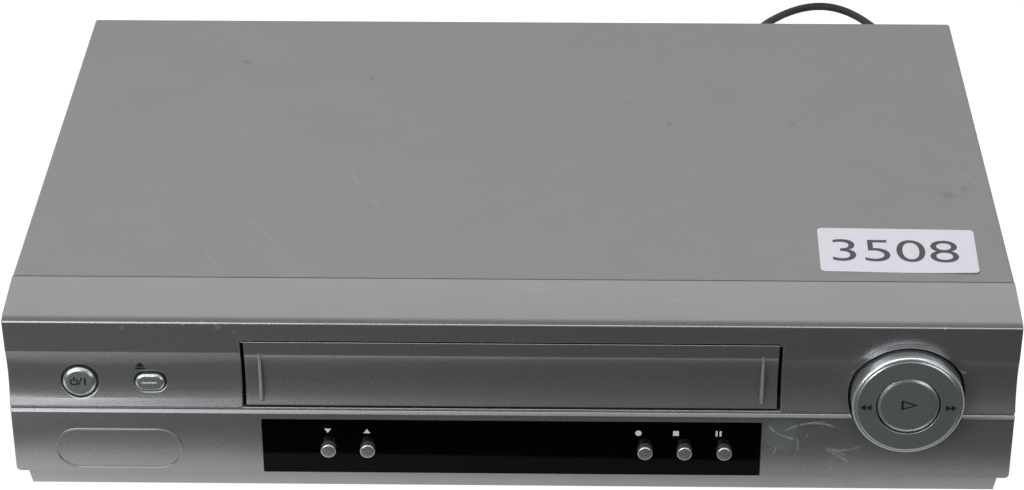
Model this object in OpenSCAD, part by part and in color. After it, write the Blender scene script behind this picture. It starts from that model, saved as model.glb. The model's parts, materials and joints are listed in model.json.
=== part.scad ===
// Front-loading video cassette recorder, in millimetres.
// X runs to the right, Y to the back, Z up. The feet stand on Z = 0, and the
// middle of the case without its mains cord is at X = 0, Y = 0.

/* [Case] */
// Width of the case
body_w = 360; // [340:1:440]
// Depth from the front top edge to the rear edge of the cover
body_d = 245; // [240:1:330]
// Height from the plinth's underside to the top of the cover
body_h = 75.5; // [75.5:0.5:90]
// Height of the feet
foot_h = 9; // [5:0.5:15]
// Radius of a foot
foot_r = 13; // [8:0.5:18]
// Wall of the moulded parts
wall_t = 2.4; // [1.8:0.1:3]
// Thickness of the steel cover
sheet_t = 0.8; // [0.6:0.1:1.2]
// Depth of the front panel's top shelf, up to the seam
shelf_d = 26.3; // [26:0.1:34]
// How far the plinth stands in from the case at each side
plinth_in = 3.5; // [3:0.5:8]
// Number of vent slots in each side of the cover
vent_n = 9; // [4:1:14]

/* [Front face] */
// Drop of the shelf from the seam to its front bevel
shelf_drop = 2.5; // [1:0.1:3.1]
// Depth down to the front top edge
edge_down = 4.4; // [4.1:0.1:5]
// Depth down to the line where the upper band ends
break_down = 17.1; // [16.2:0.1:18]
// Lean of the upper band at that line
break_back = 1.3; // [0.8:0.1:1.6]
// Depth down to the lower edge of the hollow face
hollow_down = 39.7; // [39:0.1:40]
// How far that edge lies behind the front top edge
hollow_back = 1.5; // [1.2:0.1:1.8]
// Depth of the hollow behind its own two edges
hollow_deep = 1.9; // [1.2:0.1:2.4]
// Height and depth of the groove under the hollow
groove_h = 0.9; // [0.6:0.1:1.1]
// Height of the sloping ledge under the groove
ledge_h = 1.5; // [1:0.1:1.8]
// Depth down to the lower edge of the front panel
panel_down = 68.1; // [67.6:0.1:68.5]
// Lean of the lower section at that edge
panel_back = 2.8; // [2.2:0.1:3.2]

/* [Cassette] */
// Width of a video cassette
tape_w = 188; // [188:1:188]
// Height of a video cassette
tape_h = 25; // [25:1:25]
// Depth of a video cassette
tape_d = 104; // [104:1:104]
// Width of the slot in the front panel
slot_w = 192.4; // [191.6:0.1:193]
// Height of the slot
slot_h = 28.7; // [28.5:0.1:29.1]
// Depth down to the top of the slot
slot_down = 11.4; // [11.2:0.1:11.9]
// Gap between the flap and the slot at the sides
flap_gap = 1.3; // [0.9:0.1:1.6]
// Height of the flap
flap_h = 27; // [26.7:0.1:27.2]
// Thickness of the flap
flap_t = 1.8; // [1.4:0.1:2.2]
// Radius of the flap's hinge pins
flap_pin_r = 0.8; // [0.6:0.1:0.8]
// Distance from the middle to the grip ribs on the flap
grip_x = 89.5; // [80:0.5:91]
// How far the carriage brings the cassette in
load_travel = 60; // [50:1:60]
// How far the basket then drops
drop_travel = 16; // [12:0.5:16]

/* [Display window] */
// Width of the window
win_w = 179.5; // [170:0.5:186]
// Depth down to its upper edge
win_down = 44.7; // [43.5:0.1:46]
// Thickness of the window
win_t = 2; // [1.5:0.1:2.2]

/* [Keys] */
// Radius of the five small keys
key_r = 2.75; // [2:0.05:3.2]
// How far they stand out of the window
key_out = 3.2; // [2:0.1:4]
// Depth down to their middle
key_down = 56.7; // [54:0.1:58]
// Travel of every key
key_travel = 0.7; // [0.4:0.1:0.8]
// Radius of the standby key
standby_r = 5.9; // [5:0.1:6.4]
// Distance of the standby key from the middle
standby_x = 154.4; // [150:0.1:156]
// Depth down to the standby and eject keys
upper_key_down = 29.9; // [28:0.1:31]
// Length of the eject key
eject_w = 10.4; // [8:0.1:11]
// Height of the eject key
eject_h = 6.8; // [5:0.1:7.4]
// Distance of the eject key from the middle
eject_x = 129.1; // [126:0.1:132]
// Gap round the standby, eject and play keys
key_gap = 0.6; // [0.5:0.05:0.8]

/* [Rocker dial] */
// Distance of the dial from the middle
dial_x = 141; // [139:0.1:143]
// Depth down to the dial's middle
dial_down = 33.3; // [32:0.1:34]
// Radius of the dial
dial_r = 20; // [18:0.1:20.5]
// Gap between the dial and its seat
dial_gap = 0.8; // [0.6:0.1:1]
// How far the dial stands out of the front top edge
dial_out = 5.3; // [3:0.1:6]
// Radius of the play key
play_r = 10.9; // [9:0.1:11.5]
// Radius of the dial's pivot pins
dial_pin_r = 1.2; // [0.8:0.1:1.4]

/* [Tape deck] */
// How far the deck plate stands out beside the cassette
deck_side = 14; // [11:0.5:16]
// Thickness of the deck plate
deck_t = 1.2; // [1:0.1:1.6]
// Height of the deck plate's top above the base frame's underside
deck_up = 13; // [12.5:0.1:14]
// Distance between the two reel tables
reel_gap = 92; // [92:1:92]
// Radius of a reel table's disc
reel_r = 27; // [24:0.5:28]
// Radius of the head drum
drum_r = 31; // [31:1:31]
// Lean of the drum's axis
drum_tilt = 5; // [3:0.5:6]
// Distance from the front top edge to the drum's middle
drum_back = 186; // [184:1:188]
// Distance of the tape guides from the drum's middle
guide_r = 47.5; // [46:0.5:48]
// Swing of the tape guides
guide_swing = 64; // [40:1:66]
// Radius of the capstan shaft
capstan_r = 1.5; // [1:0.1:2]
// Radius of the pinch roller
pinch_r = 6.5; // [5:0.1:6.8]
// Module of the loading gears
gear_m = 0.8; // [0.8:0.1:0.8]
// Teeth on the cam gear
cam_teeth = 45; // [43:1:46]
// Teeth on the loading motor's pinion
pinion_teeth = 12; // [12:1:13]

/* [Circuit boards] */
// Thickness of the circuit boards
board_t = 1.6; // [1.2:0.1:1.6]
// Width of the main board
main_w = 210; // [190:1:214]
// Width of the power board
power_w = 60; // [50:1:62]
// Distance from the front top edge to the face of the key boards
key_board_back = 14; // [13:0.1:16]

/* [Back] */
// Outer radius of an audio or video socket
jack_r = 4.15; // [4.15:0.01:4.15]
// Length of an audio or video socket outside the back
jack_len = 8.5; // [8.1:0.1:9]
// Distance between those sockets
jack_pitch = 14; // [13:0.5:16]
// Outer radius of an aerial socket
aerial_r = 4.75; // [4.75:0.01:4.75]
// Distance of the cord's exit from the middle
cord_x = 144; // [144:1:144]
// Radius of the mains cord
cord_r = 1.85; // [1.6:0.05:1.85]

/* [Hidden] */
$fn = 48;

// Heights and depths of the case
z_base = foot_h;
z_top = foot_h + body_h;
z_plinth = z_top - panel_down;
floor_t = 2.5;
z_floor = z_base + floor_t;
rear_y = body_d - sheet_t;
rear_t = 2.4;
seam_gap = 0.2;
side_clear = 0.2;
dial_front = -dial_out;
back_reach = rear_y + jack_len;
y_shift = -(dial_front + back_reach) / 2;
eps = 0.02;
cut = 1;

function down(d) = z_top - d;

// Front panel face
bevel_back = 0.35;
bevel_down = 3.6;
shelf_edge = 2.8;
face_zone = 6;
win_h = panel_down - win_down;
win_set = 0.2;
window_seat = 1.5;
lower_top = hollow_down + groove_h + ledge_h;
ledge_lip = 0.6;
corner_r = 1.8;
plinth_slant = 1.3;
foot_in = 40;
hollow_chord = hollow_down - break_down;
hollow_r = (hollow_chord * hollow_chord / 4 + hollow_deep * hollow_deep) / (2 * hollow_deep);
hollow_mid_y = (break_back + hollow_back) / 2 + hollow_deep - hollow_r;
hollow_mid_down = (break_down + hollow_down) / 2;

// A case shallower than this brings the tape path forward and shortens the carriage's travel
full_depth = 240;
path_in = max(0, full_depth - body_d);

// Cassette flap and bay
slot_z0 = down(slot_down + slot_h);
slot_z1 = down(slot_down);
flap_w = slot_w - 2 * flap_gap;
flap_z1 = slot_z1 - 0.4;
flap_z0 = flap_z1 - flap_h;
hinge_y = 2.4;
hinge_z = slot_z1 - 1;
flap_pin_out = 3.4;
run_clear = 0.05;
bay_z = slot_z0 + 0.15;
bay_clear = 1.2;
basket_t = 1;
basket_x = tape_w / 2 + bay_clear;
basket_y0 = 36;
basket_y1 = basket_y0 - 0.5 + tape_d - load_travel;
ledge_w = 15;
basket_top = bay_z + tape_h + 1.2;
plate_t = 1.2;
carriage_x = basket_x + basket_t + 0.4;
bracket_x = carriage_x + plate_t + 0.7;
rail_z = bay_z + 5;
rail_r = 2;
lift_pin_r = 1.5;
lift_pin_z = bay_z + 16;
carriage_y0 = basket_y0 + 4;
carriage_y1 = basket_y1 + 4;
carriage_z0 = bay_z - 4;
carriage_z1 = basket_top + 3.4;
bracket_z1 = carriage_z1 + 1;
bracket_y0 = carriage_y0 - 2;
bracket_y1 = carriage_y1 + load_travel + 4 - path_in;

// Keys, boards and switches
key_z = down(key_down);
upper_key_z = down(upper_key_down);
switch_h = 2.2;
switch_face = key_board_back - switch_h;
key_rest = key_travel + 0.15;
stem_r = 1.2;
key_xs = [-65.95, -51.85, 48.15, 62.35, 76.65];
dial_z = down(dial_down);
dial_pivot_y = 6.6;
dial_pad_x = 15;
dial_back = 8.6;
play_hole_r = play_r + key_gap;
seat_r = dial_r + dial_gap;

// Tape deck
z_deck = z_base + deck_up;
z_deck_under = z_deck - deck_t;
deck_w = tape_w + 2 * deck_side;
deck_y0 = 40;
deck_y1 = 222 - path_in;
reel_x = reel_gap / 2;
reel_y = basket_y0 - 0.5 + tape_d - 60.5;
reel_z = z_deck + 1.6;
reel_disc_t = 3.8;
reel_top = bay_z - drop_travel + 12;
spindle_r = 2.5;
post_r = 4;
deck_post_in = 3.5;
deck_posts = [
    for (s = [-1, 1]) [s * (deck_w / 2 - deck_post_in), deck_y0 + 8],
    for (s = [-1, 1]) [s * 62, deck_y1 - 6]
];
screw_r = 1.3;
drum_z = z_deck + 4;
lower_h = 19;
upper_h = 13.5;
rotor_h = 6;
drum_gap = 0.3;
drum_shaft_r = 3;
guide_start = 52;
guide_post_r = 2.8;
guide_post_h = 29;
guide_gap = 0.3;
slot_half = 1.6;
capstan_at = [tape_w / 2 - 22, 152 - path_in];
pinch_pivot = [tape_w / 2 + 6, 168 - path_in];
pinch_arm_len = 24.6;
pinch_rest = 232;
pinch_swing = 15;
pinch_z = z_deck + 14;
pinch_h = 14;
idler_pivot = [0, reel_y + 32];
idler_len = 32;
idler_r = 14;
cam_at = [tape_w / 2 - 14, 196 - path_in];
cam_t = 4;
cam_z = z_deck + 1.2;
gear_reach = gear_m * (cam_teeth + pinion_teeth) / 2;
motor_at = cam_at + gear_reach * [cos(45), sin(45)];
motor_r = 10;
motor_z = cam_z + cam_t + 2.8;
pin_r = 1.5;

// Circuit boards
z_board = z_floor + 2.5;
board_in = 11;
main_x0 = -body_w / 2 + board_in;
main_y0 = 44;
main_y1 = rear_y - rear_t - 6;
power_x1 = body_w / 2 - board_in;
power_y0 = 62;
boss_r = 3;
main_bosses = [for (x = [main_x0 + 5, main_x0 + main_w - 5], y = [main_y0 + 6, main_y1 - 6]) [x, y]];
power_bosses = [for (x = [power_x1 - power_w + 5, power_x1 - 5], y = [power_y0 + 6, main_y1 - 6]) [x, y]];

// Sockets on the back
jack_x = main_x0 + 57;
jack_z = z_base + 22;
jack_at = [for (i = [0, 1], j = [0, 1]) [jack_x + i * jack_pitch, jack_z + j * jack_pitch]];
aerial_pitch = 20;
aerial_at = [for (i = [0, 1]) [main_x0 + 9 + i * aerial_pitch, jack_z + 2]];
bushing_z = z_base + 14;
bushing_neck_r = 3.6;
bushing_end = rear_y + 24;
side_screws = [for (y = [60, body_d - 40]) [y, z_base + 16]];
rear_screws = [for (s = [-1:1]) s * body_w / 3];
rear_screw_z = z_top - 6;

// The free stretch of the mains cord, as points along its middle
floor_z = cord_r;
lead_points = [
    [cord_x, bushing_end, bushing_z], [cord_x, bushing_end + 7, bushing_z - 0.6], [144.2, 283, 19.6],
    [144.8, 292, 14], [146.2, 301, 8.4], [148.8, 311, 3.8], [152.6, 321.5, floor_z + 0.1], [157.4, 332.5, floor_z],
    [162.4, 345.5, floor_z], [167, 361, floor_z], [170.6, 377, floor_z], [172.3, 392, floor_z], [171.6, 406, floor_z],
    [169.2, 415.5, floor_z], [165.5, 423.4, floor_z], [160.7, 431.9, floor_z], [154.6, 439.1, floor_z],
    [148.1, 443.1, floor_z], [141.2, 443.8, floor_z], [133.9, 441.2, floor_z], [126.7, 435.9, floor_z],
    [121, 429.9, floor_z], [115.9, 423.4, floor_z], [112, 415.5, floor_z], [110, 406, floor_z],
    [109.5, 396, floor_z], [109.5, 381, floor_z], [109.5, 366, floor_z]
];
smooth_steps = 3;
function smooth(p, n) = let (k = len(p)) concat([for (i = [0:k - 2], j = [0:n - 1])
    let (t = j / n, a = p[max(0, i - 1)], b = p[i], c = p[i + 1], d = p[min(k - 1, i + 2)])
    0.5 * (2 * b + (c - a) * t + (2 * a - 5 * b + 4 * c - d) * t * t + (3 * b - a - 3 * c + d) * t * t * t)], [p[k - 1]]);
lead_path = [for (q = smooth(lead_points, smooth_steps)) [q[0], q[1], max(floor_z, q[2])]];

// The coil of the put-away length: inwards on the floor, up and outwards on top
coil_r = 28.6;
coil_pitch = 4.2;
coil_turns = 4;
coil_steps = 24;
coil_rise = 8;
coil_at = [109.5 - coil_r, 366];
coil_inner = coil_r - coil_pitch * (coil_turns - 1);
coil_n = coil_turns * coil_steps;
function ease(t) = t * t * (3 - 2 * t);
function coil_radius(i) = i <= coil_n
    ? coil_r - (coil_r - coil_inner) * min(1, i / (coil_n - coil_steps))
    : coil_inner + (coil_r - coil_inner) * max(0, (i - coil_n - coil_rise) / (coil_n - coil_rise));
function coil_point(i) = let (a = -360 * i / coil_steps, r = coil_radius(i),
    up = ease(max(0, min(1, (i - coil_n) / coil_rise))))
    [coil_at[0] + r * cos(a), coil_at[1] + r * sin(a), floor_z + coil_pitch * up];
coil_turned = [for (i = [0:2 * coil_n]) coil_point(i)];
plug_z = 7;
plug_x = 109.5;
plug_y = 334;
coil_path = concat(coil_turned, [
    [plug_x, 360, floor_z + coil_pitch], [plug_x, 352, 6.1], [plug_x, 344, 6.5], [plug_x, plug_y, plug_z]
]);
function least_gap(p, step) = min([for (i = [0:len(p) - 1 - step]) min([for (j = [i + step:len(p) - 1]) norm(p[i] - p[j])])])
    - 2 * cord_r;
echo(least_gap_in_coil = least_gap(coil_path, coil_steps / 2));

// Boards behind the front, held on the panel's posts
board_z0 = z_plinth + wall_t + 0.6;
display_x = 98;
display_board_z1 = slot_z0 - 1.6;
key_x0 = 112;
key_x1 = body_w / 2 - wall_t - 4;
key_board_z1 = upper_key_z + 10;
panel_post_r = 2.4;
panel_pin_r = 1.1;
panel_posts = concat(
    [for (x = [-1, 1], z = [board_z0 + 4, display_board_z1 - 4]) [x * (display_x - 4), z]],
    [for (x = [-key_x1 + 4, key_x0 + 4, key_x1 - 4], z = [board_z0 + 4]) [x, z]],
    [[-key_x0 - 4, board_z0 + 4], [-key_x1 + 4, key_board_z1 - 4], [key_x1 - 4, key_board_z1 - 4]]
);

// Angles of the two tape guides at rest, seen from the drum's middle
supply_angle = 180 + guide_start;
takeup_angle = -guide_start;
drum_at = [0, drum_back - path_in];
pinch_at = pinch_pivot + pinch_arm_len * [cos(pinch_rest), sin(pinch_rest)];
motor_shelf_t = 1.2;

// The capstan motor hangs under the deck
bearing_r = 4.5;
stator_t = 2.2;
stator_z = z_deck_under - stator_t;
rotor_r = 22;
rotor_z = z_floor + 1.2;
rotor_top = stator_z - 0.6;
idler_z = z_deck + 0.6;

// Pins of the cassette housing
rail_pins = [carriage_y0 + 3, carriage_y1 - 3];
lift_pins = [carriage_y0 + 12, carriage_y1 - 12];

// Puts everything in the frame whose middle is the case's middle
module place() {
    translate([0, y_shift, 0]) children();
}

// A section drawn in Y and Z, drawn out along X about the middle
module along_x(w, x = 0) {
    translate([x - w / 2, 0, 0]) rotate([90, 0, 90]) linear_extrude(w) children();
}

// A section drawn in X and Z, drawn out along Y from y0 to y1
module along_y(y0, y1) {
    translate([0, y1, 0]) rotate([90, 0, 0]) linear_extrude(y1 - y0) children();
}

// A round bar along X, Y or Z, from a to b
module bar_x(r, a, b, y, z) {
    translate([a, y, z]) rotate([0, 90, 0]) cylinder(r = r, h = b - a);
}
module bar_y(r, a, b, x, z) {
    translate([x, a, z]) rotate([-90, 0, 0]) cylinder(r = r, h = b - a);
}
module bar_z(r, a, b, x, y) {
    translate([x, y, a]) cylinder(r = r, h = b - a);
}

// A block between two corners
module block(a, b) {
    translate(a) cube(b - a);
}

// A flat pill shape, w long and h high
module pill(w, h) {
    square([w - h, h], center = true);
    for (s = [-1, 1]) translate([s * (w - h) / 2, 0]) circle(d = h);
}

// A rectangle with round corners, between two corners
module round_rect(x0, z0, x1, z1, r) {
    translate([x0 + r, z0]) square([x1 - x0 - 2 * r, z1 - z0]);
    translate([x0, z0 + r]) square([x1 - x0, z1 - z0 - 2 * r]);
    for (x = [x0 + r, x1 - r], z = [z0 + r, z1 - r]) translate([x, z]) circle(r = r);
}

// A revolved shape with its axis along Y, drawn as radius and distance
module turned_y(x, z) {
    translate([x, 0, z]) rotate([-90, 0, 0]) rotate_extrude() children();
}

// The outline of the front, from the shelf down to the lower edge
module face_section() {
    difference() {
        polygon([
            [shelf_d, z_top],
            [shelf_edge, down(shelf_drop)],
            [bevel_back, down(bevel_down)],
            [0.05, down(edge_down - 0.4)],
            [0, down(edge_down)],
            [break_back, down(break_down)],
            [hollow_back, down(hollow_down)],
            [hollow_back + groove_h, down(hollow_down)],
            [hollow_back + groove_h, down(hollow_down + groove_h)],
            [hollow_back, down(hollow_down + groove_h)],
            [hollow_back - ledge_lip, down(lower_top - 0.4)],
            [hollow_back - ledge_lip + 0.1, down(lower_top)],
            [hollow_back + 0.1, down(lower_top + 0.3)],
            [hollow_back + 0.3, down(lower_top + 8)],
            [panel_back - 0.5, down(panel_down - 9)],
            [panel_back, down(panel_down)],
            [shelf_d, down(panel_down)]
        ]);
        translate([hollow_mid_y, down(hollow_mid_down)]) circle(r = hollow_r, $fn = 180);
    }
}

// The moulded wall behind that outline
module face_hollow() {
    intersection() {
        translate([wall_t, 0]) face_section();
        translate([0, -wall_t]) face_section();
        translate([0, wall_t]) face_section();
    }
    translate([shelf_d - cut, down(panel_down) + wall_t]) square([2 * cut, panel_down - 2 * wall_t - cut]);
}

// The front outline of the panel with its round lower corners
module panel_outline(inset = 0) {
    x = body_w / 2 - inset;
    z0 = z_plinth + inset;
    translate([-x, z0 + corner_r]) square([2 * x, z_top - z0]);
    translate([-x + corner_r, z0]) square([2 * (x - corner_r), corner_r * 2]);
    for (s = [-1, 1]) translate([s * (x - corner_r), z0 + corner_r]) circle(r = corner_r);
}

module front_panel() {
    color([0.55, 0.56, 0.57])
    place() {
        difference() {
            union() {
                difference() {
                    intersection() {
                        along_x(body_w) face_section();
                        along_y(-cut, shelf_d + cut) panel_outline();
                    }
                    intersection() {
                        along_x(body_w) face_hollow();
                        along_y(-cut, shelf_d + 2 * cut) panel_outline(wall_t);
                    }
                }
                dial_seat();
                setup_ring();
                for (s = [-1, 1]) hinge_ear(s);
                for (p = panel_posts) bar_y(panel_post_r, panel_back + 1.4, key_board_back, p[0], p[1]);
                for (p = panel_posts) bar_y(panel_pin_r, key_board_back - 1, key_board_back + board_t + 1, p[0], p[1]);
                window_ledge();
            }
            translate([-slot_w / 2, -cut, slot_z0]) cube([slot_w, shelf_d - wall_t, slot_h]);
            intersection() {
                along_x(body_w) difference() {
                    translate([-face_zone, 0]) face_section();
                    translate([win_set + win_t, 0]) face_section();
                }
                along_y(-cut, shelf_d) window_outline(0.15);
            }
            along_y(-cut, face_zone + 3) window_outline(-window_seat);
            bar_y(standby_r + key_gap + 0.2, -cut, face_zone + 3, -standby_x, upper_key_z);
            along_y(-cut, face_zone + 3) translate([-eject_x, upper_key_z]) pill(eject_w + 2 * key_gap, eject_h + 2 * key_gap);
            bar_y(seat_r, -cut, dial_back + 3, dial_x, dial_z);
            for (s = [-1, 1]) {
                bar_x(flap_pin_r + run_clear, s > 0 ? slot_w / 2 - cut : -slot_w / 2 - flap_pin_out,
                    s > 0 ? slot_w / 2 + flap_pin_out : cut - slot_w / 2, hinge_y, hinge_z);
                bar_z(dial_pin_r + run_clear, s > 0 ? dial_z + dial_r : dial_z - seat_r - 3.2,
                    s > 0 ? dial_z + seat_r + 3.2 : dial_z - dial_r, dial_x, dial_pivot_y);
            }
        }
    }
}

// The round seat of the dial: a tube behind the face, and a low collar on the face that
// runs round the upper half and fades into the hollow
module dial_seat() {
    collar_w = 1.8;
    collar_out = 0.45;
    fade_z = 9.3;
    intersection() {
        turned_y(dial_x, dial_z) polygon([
            [seat_r - 0.5, 0.5], [seat_r + 3, 0.5], [seat_r + 3, dial_back], [seat_r - 0.5, dial_back]
        ]);
        along_x(4 * dial_r, dial_x) translate([0.5, 0]) face_section();
    }
    for (w = [collar_w, collar_w / 2]) intersection() {
        along_x(4 * dial_r, dial_x) intersection() {
            difference() {
                translate([w < collar_w ? -collar_out : -collar_out / 2, 0]) face_section();
                translate([collar_out, 0]) face_section();
            }
            polygon([
                [3, dial_z + fade_z], [0.6, dial_z + fade_z + 6.4], [-cut, dial_z + fade_z + 6.4],
                [-cut, z_top], [panel_back + 1, z_top], [panel_back + 1, dial_z + fade_z]
            ]);
        }
        bar_y(seat_r + w, -cut, panel_back + 1, dial_x, dial_z);
    }
}

// The rim that the window is glued to from the front
module window_ledge() {
    intersection() {
        along_x(body_w) difference() {
            translate([win_set + win_t, 0]) face_section();
            translate([win_set + win_t + 1.4, 0]) face_section();
        }
        along_y(-cut, shelf_d) difference() {
            intersection() {
                window_outline(window_seat);
                panel_outline();
            }
            window_outline(-window_seat);
        }
    }
}

// The thin raised ring at the lower left, bare inside
module setup_ring() {
    ring_w = 46.6;
    ring_h = 17.8;
    ring_t = 0.9;
    ring_out = 0.45;
    ring_x = -142;
    intersection() {
        along_x(ring_w + 2, ring_x) difference() {
            translate([-ring_out, 0]) face_section();
            translate([1, 0]) face_section();
        }
        along_y(0, panel_back + 3) translate([ring_x, down(58)]) difference() {
            pill(ring_w, ring_h);
            pill(ring_w - 2 * ring_t, ring_h - 2 * ring_t);
        }
    }
}

// One of the two ears that back the wall where the flap's pins sit
module hinge_ear(s) {
    ear_t = 3.4;
    x0 = s > 0 ? slot_w / 2 : -slot_w / 2 - ear_t;
    block([x0, hinge_y, hinge_z - 3], [x0 + ear_t, hinge_y + 2.4, hinge_z + 3]);
}

// The front outline of the display window
module window_outline(grow = 0) {
    x = win_w / 2 + grow;
    round_rect(-x, down(win_down + win_h) - grow, x, down(win_down) + grow, 0.8);
}

module display_window() {
    color([0.03, 0.03, 0.03])
    place()
    difference() {
        intersection() {
            along_x(body_w) difference() {
                translate([win_set, 0]) face_section();
                translate([win_set + win_t, 0]) face_section();
            }
            along_y(-cut, shelf_d) window_outline();
        }
        for (x = key_xs) bar_y(key_r + 0.15, -cut, shelf_d, x, key_z);
    }
}

// The flap follows the outline of the front and turns on two pins
module cassette_flap() {
    pin_in = 3;
    color([0.52, 0.53, 0.54])
    place() {
        along_x(flap_w) intersection() {
            difference() {
                face_section();
                translate([flap_t, 0]) face_section();
            }
            translate([-cut, flap_z0]) square([face_zone + cut, flap_h]);
        }
        for (s = [-1, 1]) {
            bar_x(flap_pin_r, s > 0 ? flap_w / 2 - pin_in : -flap_w / 2 - flap_pin_out,
                s > 0 ? flap_w / 2 + flap_pin_out : pin_in - flap_w / 2, hinge_y, hinge_z);
            grip_rib(s * grip_x);
        }
    }
}

// A thin upright rib on the flap, wider at its foot
module grip_rib(x) {
    rib_h = 20;
    translate([x, break_back - 0.15, flap_z0 + 1.8]) rotate([90, 0, 0]) mirror([0, 0, 1])
        linear_extrude(2.6) polygon([[-0.5, 0], [0.9, 0], [0.5, rib_h], [-0.5, rib_h]]);
}

// A round tube along a list of points, with flat ends square to its first and last run
function unit(v) = v / norm(v);
function run_dir(p, i) = i == 0 ? unit(p[1] - p[0])
    : i == len(p) - 1 ? unit(p[i] - p[i - 1])
    : unit(unit(p[i] - p[i - 1]) + unit(p[i + 1] - p[i]));
function carried(p, i, side) = let (d = run_dir(p, i), s = unit(side - (side * d) * d))
    i == len(p) - 1 ? [s] : concat([s], carried(p, i + 1, s));
module tube(p, r, sides) {
    first = run_dir(p, 0);
    start = abs(first[2]) < 0.9 ? [0, 0, 1] : [1, 0, 0];
    side = carried(p, 0, start);
    n = len(p);
    points = [for (i = [0:n - 1]) let (d = run_dir(p, i), u = side[i], v = cross(d, u))
        for (k = [0:sides - 1]) p[i] + r * (cos(360 * k / sides) * u + sin(360 * k / sides) * v)];
    walls = [for (i = [0:n - 2], k = [0:sides - 1]) let (a = i * sides + k, b = i * sides + (k + 1) % sides)
        each [[a, a + sides, b], [b, a + sides, b + sides]]];
    caps = [[for (k = [0:sides - 1]) k], [for (k = [sides - 1:-1:0]) (n - 1) * sides + k]];
    polyhedron(points, concat(walls, caps));
}

// The moulded base: a tray with the plinth as its lower edge
module base_frame() {
    x_low = body_w / 2 - plinth_in - plinth_slant;
    x_top = body_w / 2 - plinth_in;
    x_wall = body_w / 2 - sheet_t - 2 * side_clear;
    y0 = panel_back + 2.5;
    y1 = rear_y - rear_t;
    color([0.5, 0.5, 0.5])
    place() {
        difference() {
            union() {
                intersection() {
                    along_y(y0, y1) polygon([[-x_low, z_base], [x_low, z_base], [x_top, z_plinth], [-x_top, z_plinth]]);
                    along_x(body_w) polygon([[y0 + 1, z_base], [y1, z_base], [y1, z_plinth], [y0, z_plinth]]);
                }
                block([-x_wall, shelf_d + seam_gap, z_plinth], [x_wall, y1, z_base + 22]);
            }
            block([-x_low + wall_t, y0 + 1 + wall_t, z_floor], [x_low - wall_t, y1 + cut, z_top]);
            block([-x_wall + wall_t, shelf_d, z_plinth + wall_t], [x_wall - wall_t, y1 + cut, z_top]);
            for (s = [-1, 1], at = side_screws) {
                bar_x(screw_r + 0.05, s > 0 ? x_wall - 5 : -x_wall - cut, s > 0 ? x_wall + cut : -x_wall + 5, at[0], at[1]);
            }
            for (i = [0:9]) block([power_x1 - 50 + i * 5, 110, z_base - cut], [power_x1 - 47.6 + i * 5, 150, z_floor + cut]);
        }
        for (p = deck_posts) drilled_post(p, post_r, z_floor, z_deck_under);
        for (p = concat(main_bosses, power_bosses)) drilled_post(p, boss_r, z_floor, z_board);
        for (y = [92, 142, 192]) block([main_x0 + 8, y, z_floor - eps], [main_x0 + main_w - 20, y + 1.4, z_floor + 1.4]);
    }
}

// A round post with a blind hole for a screw
module drilled_post(at, r, z0, z1) {
    difference() {
        bar_z(r, z0 - eps, z1, at[0], at[1]);
        bar_z(screw_r + 0.05, z1 - 2.2, z1 + cut, at[0], at[1]);
    }
}

module feet() {
    color([0.08, 0.08, 0.08])
    place()
    for (s = [-1, 1], y = [foot_in + 5, body_d - foot_in]) translate([s * (body_w / 2 - foot_in), y, 0])
        rotate_extrude() polygon([
            [0, 2.5], [foot_r * 0.4, 2.5], [foot_r * 0.4, 0], [foot_r - 1.6, 0], [foot_r - 0.5, 0.8],
            [foot_r, z_base], [0, z_base]
        ]);
}

// The cover's section, with round upper corners
module cover_outline(inset = 0, low = 0) {
    bend_r = max(0.3, 1.2 - inset);
    x = body_w / 2 - inset;
    z1 = z_top - inset;
    translate([-x, z_plinth - low]) square([2 * x, z1 - bend_r - z_plinth + low]);
    translate([-x + bend_r, z_plinth - low]) square([2 * (x - bend_r), z1 - z_plinth + low]);
    for (s = [-1, 1]) translate([s * (x - bend_r), z1 - bend_r]) circle(r = bend_r);
}

module top_cover() {
    slot_step = 7;
    color([0.55, 0.55, 0.55])
    place()
    difference() {
        union() {
            along_y(shelf_d + seam_gap, body_d) difference() {
                cover_outline();
                cover_outline(sheet_t, cut);
            }
            block([-150, rear_y, z_top - 11], [150, body_d, z_top - sheet_t / 2]);
        }
        for (i = [0:vent_n - 1]) {
            block([-body_w, 150 + i * slot_step, z_base + 40], [body_w, 152.4 + i * slot_step, z_base + 62]);
        }
        for (s = [-1, 1], at = side_screws) {
            bar_x(screw_r + 0.2, s > 0 ? body_w / 2 - 4 : -body_w / 2 - cut, s > 0 ? body_w / 2 + cut : 4 - body_w / 2, at[0], at[1]);
        }
        for (x = rear_screws) bar_y(screw_r + 0.2, rear_y - cut, body_d + cut, x, rear_screw_z);
    }
}

// A screw with a low round head, pointing along -Z from its head's seat
module screw(length, r = screw_r) {
    head_r = 2 * r;
    translate([0, 0, -length]) cylinder(r = r, h = length + eps);
    rotate_extrude() polygon([[0, 0], [head_r, 0], [head_r, 0.7], [head_r - 0.9, 1.5], [0, 1.5]]);
}

module cover_screws() {
    color([0.7, 0.7, 0.72])
    place() {
        for (s = [-1, 1], at = side_screws) translate([s * body_w / 2, at[0], at[1]]) rotate([0, s * 90, 0]) screw(4);
        for (x = rear_screws) translate([x, body_d, rear_screw_z]) rotate([-90, 0, 0]) screw(2.8);
    }
}

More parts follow.
